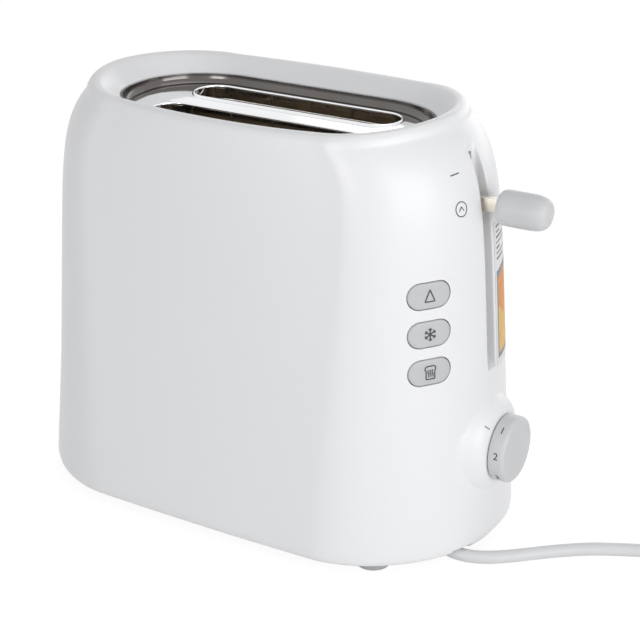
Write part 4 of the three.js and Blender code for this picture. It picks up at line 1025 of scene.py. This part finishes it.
INDEX_TURN = math.radians(48)
dash = [([(-2.9, -0.2), (2.9, 0.2)], 0.5, False)]
ringed_caret = [(circle_path(3.5), 0.45, True), ([(-1.5, -0.9), (0, 1.2), (1.5, -0.9)], 0.45, False)]
mark_points, mark_faces = [], []
for mark, y, z, squeeze in ((dash, -18.9, 197.2, 0.92), (ringed_caret, -19.2, 181.1, 0.95)):
    points, faces = print_strokes(mark, lambda a, b: on_end_wall(y + a * squeeze, z + b))
    mark_faces += [tuple(len(mark_points) + i for i in face) for face in faces]
    mark_points += points
adopt(mesh_piece("body_marks", mark_points, mark_faces, INK), "toaster_body", "shell_white")
points, faces = print_strokes([([(19.4, 0), (22.4, 0)], 0.6, False)], on_boss)
index_line = mesh_piece("boss_index", points, [face[::-1] for face in faces], PRINT_GREY)
adopt(index_line, "toaster_body", "shell_white")

# %% [markdown]
# ## End label
# A printed sheet is stuck beside the groove. Its print is kept generic: grey bars where the lines
# of type would be, and a coloured panel below. It is one grid laid on the wall, painted by area.

# %% Label
LABEL_LEFT, LABEL_RIGHT, LABEL_LOW, LABEL_HIGH = 5.6, 31, 94, 167


def label_area(y, z):
    """0 sheet, 1 grey print, 2 orange, 3 yellow."""
    a = (y - LABEL_LEFT) / (LABEL_RIGHT - LABEL_LEFT)
    b = (z - LABEL_LOW) / (LABEL_HIGH - LABEL_LOW)
    panel_top = 0.66 + 0.05 * a
    if b > 0.74:
        row = (b - 0.74) / 0.26 * 7
        return 1 if (row % 1) < 0.45 and 0.1 < a < 0.58 + 0.26 * math.sin(row // 1 * 2.3) else 0
    if not (0.05 < b < panel_top and 0.07 < a < 0.93):
        return 0
    if b > panel_top - 0.05 or a < 0.14 or a > 0.86 or b < 0.08:
        return 1
    return 2 if b > 0.36 + 0.04 * math.sin(a * 9) else 3


COLUMNS, ROWS = 58, 150


def label_spot(column, row):
    return (LABEL_LEFT + (LABEL_RIGHT - LABEL_LEFT) * column / COLUMNS,
            LABEL_LOW + (LABEL_HIGH - LABEL_LOW) * row / ROWS)


points = [on_end_wall(*label_spot(j, i), 0.3) for i in range(ROWS + 1) for j in range(COLUMNS + 1)]
cells = [(i, j) for i in range(ROWS) for j in range(COLUMNS)]
faces = []
for i, j in cells:
    a = i * (COLUMNS + 1) + j
    faces.append((a, a + 1, a + COLUMNS + 2, a + COLUMNS + 1))
areas = [label_area(*label_spot(j + 0.5, i + 0.5)) for i, j in cells]
label = mesh_piece("printed_label", points, faces, PAPER, 60)
for finish in (PRINT_GREY, PRINT_ORANGE, PRINT_YELLOW):
    label.data.materials.append(finish)
label.data.polygons.foreach_set("material_index", areas)
thicken(label, 0.2)
adopt(label, "toaster_body", "label_paper", "end_label")

# %% [markdown]
# ## Inside the slots
# Looking into the slots, thin bright wires keep the bread off the heaters. A guard is two long
# wires and a row of upright ones, so a node tree makes one guard from its pitch and count, and
# runs four times.

# %% Wire guards
guard = SizeTree("wire_guard", {"Length": 130.4 * MM, "Low": 30 * MM, "High": 198 * MM, "Wire": 0.8 * MM,
                                "Pitch": 23.7 * MM, "Uprights": 6})
low, high, pitch = guard.size("Low"), guard.size("High"), guard.size("Pitch")
tall = guard.sum("SUBTRACT", high, low)
middle = guard.sum("MULTIPLY", guard.sum("ADD", high, low), 0.5)
upright = guard.geometry("MeshCylinder", {
    "Vertices": 10, "Radius": guard.sum("MULTIPLY", guard.size("Wire"), 0.85), "Depth": tall})
reach = guard.sum("MULTIPLY", guard.sum("SUBTRACT", guard.size("Uprights"), 1), pitch)
upright_spots = guard.geometry("MeshLine", {
    "Count": guard.size("Uprights"), "Offset": guard.vector(pitch),
    "Start Location": guard.vector(guard.sum("MULTIPLY", reach, -0.5), 0.0, middle)})
uprights = guard.geometry("InstanceOnPoints", {"Points": upright_spots, "Instance": upright})
long_wire = guard.geometry("MeshCylinder", {
    "Vertices": 12, "Radius": guard.size("Wire"), "Depth": guard.size("Length")})
wire_spots = guard.geometry("MeshLine", {
    "Count": 2, "Start Location": guard.vector(0.0, 0.0, low), "Offset": guard.vector(0.0, 0.0, tall)})
long_wires = guard.geometry("InstanceOnPoints", {
    "Points": wire_spots, "Instance": long_wire, "Rotation": (0, math.pi / 2, 0)})
whole = add_node(guard.tree, "GeometryNodeJoinGeometry", {0: uprights})
guard.tree.links.new(long_wires, whole.inputs[0])
guard.close(whole.outputs[0], GUARD_WIRE)
GUARD_OFFSET = SLOT_WIDTH / 2 + 0.8 + 0.3
for where, side, away in (("front_slot_outer", -1, -1), ("front_slot_inner", -1, 1),
                          ("rear_slot_inner", 1, -1), ("rear_slot_outer", 1, 1)):
    node = where + "_guard"
    move = Matrix.Translation(place_mm(0, side * SLOT_Y + away * GUARD_OFFSET, 0))
    adopt(grow(node + "_wires", guard, move), "toaster_body", "steel_sheet", node)

# %% [markdown]
# The carriage hangs from a wound spring that stretches as the lever goes down. A spiral swept with
# a thin round section makes it.

# %% Carriage spring
spring_low, spring_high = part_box("carriage_spring")
spring_x, spring_y = (spring_low[0] + spring_high[0]) / 2, 0.0
coil = SizeTree("wound_spring", {"Turns": 30.0, "Radius": 2.3 * MM, "Wire": 0.35 * MM,
                                 "Height": spring_high[2] - spring_low[2] - 0.0012})
spiral = coil.geometry("CurveSpiral", {
    "Resolution": 14, "Rotations": coil.size("Turns"), "Start Radius": coil.size("Radius"),
    "End Radius": coil.size("Radius"), "Height": coil.size("Height")})
coil_section = coil.geometry("CurvePrimitiveCircle", {"Resolution": 6, "Radius": coil.size("Wire")})
coil.close(coil.geometry("CurveToMesh", {
    "Curve": spiral, "Profile Curve": coil_section, "Fill Caps": True}), SHEET_STEEL)
spring = grow("wound_carriage_spring", coil,
              Matrix.Translation((spring_x, spring_y, spring_low[2] + 0.0006)))
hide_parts("carriage_spring")
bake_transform(spring)

# %% [markdown]
# ## Feet
# Four rubber feet, turned with a soft lower edge and a shallow ring in the sole.

# %% Feet
foot_profile = [(0.5, 0.4), (5, 0.4), (5.4, 0.05), (7.6, 0.0), (8.5, 0.3), (8.95, 1.1), (9, 2), (9, 5.8),
                (8.7, 6.2), (8, 6.25)]
for node in ("front_left_foot", "front_right_foot", "rear_left_foot", "rear_right_foot"):
    low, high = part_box(node)
    x, y = ((low[0] + high[0]) / 2 - SHELL_MIDDLE) / MM, (low[1] + high[1]) / 2 / MM
    foot = mesh_piece(node + "_rubber", *lathe(foot_profile, (x, y, 0), 48, (0, 0, 1)), RUBBER, 40)
    adopt(foot, "toaster_body", "foot_rubber", node)

# %% [markdown]
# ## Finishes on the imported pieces
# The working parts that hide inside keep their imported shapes, which are right as they are. They
# only need their finishes.

# %% Finishes by piece
packed_finishes = {
    SHEET_STEEL: ["lever_end_plate", "far_end_plate", "front_reflector", "rear_reflector", "carriage_bracket",
                  "front_bread_lifter", "rear_bread_lifter", "keeper_plate", "front_guide_rod", "rear_guide_rod",
                  "magnet_core", "crumb_tray", *(f"base_screw_{i}" for i in range(1, 5))],
    MICA: ["front_heater_board", "centre_heater_board", "rear_heater_board"],
    RIBBON: ["front_heating_ribbon", "centre_heating_ribbon_front", "centre_heating_ribbon_rear",
             "rear_heating_ribbon"],
    PALE_PLASTIC: ["base_plate", "board_bracket", "terminal_block", "dial_shaft"],
    DARK_PLASTIC: ["contact_block", "potentiometer", "cancel_switch", "defrost_switch", "reheat_switch"],
    BOARD_GREEN: ["control_board", "switch_board"],
    COPPER: ["magnet_coil"],
}
for finish, names in packed_finishes.items():
    for name in names:
        node_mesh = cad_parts[name].data
        node_mesh.materials.clear()
        node_mesh.materials.append(finish)
# the crumb tray's own front belongs to the white outside
tray_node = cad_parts["crumb_tray"]
tray_node.data.materials.append(WHITE_GLOSS)
for face in tray_node.data.polygons:
    if (tray_node.matrix_world @ face.center).x < place_mm(-106, 0, 0).x:
        face.material_index = 1
print(sum(len(n) for n in packed_finishes.values()), "packed pieces finished")

# %% [markdown]
# ## Floor and light
# A pale floor and a white surround. The floor has to look white where the light falls freely and
# still keep the soft shadow under the body, so for the camera it glows a little under its own
# paint. Soft light comes from a large panel off the lever end, weaker ones in front and above, and a
# wide one behind that fills the far side.

# %% Floor and world
def ray_is_seen(tree):
    """1 for camera, glossy and transmission rays."""
    path = add_node(tree, "ShaderNodeLightPath").outputs
    seen = math_node(tree, "MAXIMUM", path["Is Camera Ray"], path["Is Glossy Ray"])
    return math_node(tree, "MAXIMUM", seen, path["Is Transmission Ray"])


def two_faced(tree, output, hidden, seen):
    """Shows one shader to the rays that are seen and another to the rays that only carry light."""
    choice = add_node(tree, "ShaderNodeMixShader", {0: ray_is_seen(tree), 1: hidden, 2: seen})
    add_node(tree, output, {"Surface": choice.outputs[0]})


floor_paint = bpy.data.materials.new("studio_floor")
floor_paint.use_nodes = True
floor_tree = floor_paint.node_tree
floor_tree.nodes.clear()
seen_paint, hidden_paint = (
    add_node(floor_tree, "ShaderNodeBsdfDiffuse", {"Color": (grey, grey, grey, 1)}).outputs[0]
    for grey in (0.22, 0.8))
glow = add_node(floor_tree, "ShaderNodeEmission", {"Strength": 0.89}).outputs[0]
glowing_paint = add_node(floor_tree, "ShaderNodeAddShader", {0: seen_paint, 1: glow}).outputs[0]
two_faced(floor_tree, "ShaderNodeOutputMaterial", hidden_paint, glowing_paint)
floor_mesh = bpy.data.meshes.new("studio_floor")
floor_mesh.from_pydata([(x * 4, y * 4, -0.0002) for x, y in ((-1, -1), (1, -1), (1, 1), (-1, 1))],
                       [], [(0, 1, 2, 3)])
floor_mesh.materials.append(floor_paint)
add_object("studio_floor", floor_mesh)

world = bpy.data.worlds.new("studio")
bpy.context.scene.world = world
world.use_nodes = True
world_tree = world.node_tree
world_tree.nodes.clear()
soft_fill, seen_white = (
    add_node(world_tree, "ShaderNodeBackground", {"Color": colour, "Strength": strength}).outputs[0]
    for colour, strength in (((0.97, 0.98, 1.0, 1), 0.43), ((1, 1, 1, 1), 1.0)))
two_faced(world_tree, "ShaderNodeOutputWorld", soft_fill, seen_white)


# %% Lamps
def soft_panel(name, where, aim, size, power):
    """A rectangular soft lamp that points at a place on the toaster."""
    lamp = bpy.data.lights.new(name, "AREA")
    lamp.shape, lamp.size, lamp.size_y, lamp.energy = "RECTANGLE", size[0], size[1], power
    made = add_object(name, lamp)
    made.location = Vector(where)
    made.rotation_euler = (Vector(aim) - Vector(where)).to_track_quat("-Z", "Y").to_euler()


# name, place and aim in metres, width and height, power in watts
for panel in (("panel_lever_end", (1.35, -0.45, 0.42), (0.05, 0, 0.08), (1.1, 0.8), 8.8),
              ("panel_front", (0.1, -1.5, 0.5), (0, 0, 0.1), (0.5, 0.8), 5.4),
              ("panel_above", (0.1, 0.3, 1.4), (0, 0, 0.2), (1.0, 0.7), 1.5),
              ("panel_rear", (-0.2, 2.4, 0.5), (0, 0, 0.1), (2.4, 1.2), 12)):
    soft_panel(*panel)

# %% [markdown]
# ## Last step
# Render settings that belong to the scene's look are set.

# %% Finish
bpy.context.scene.view_settings.view_transform = "Standard"
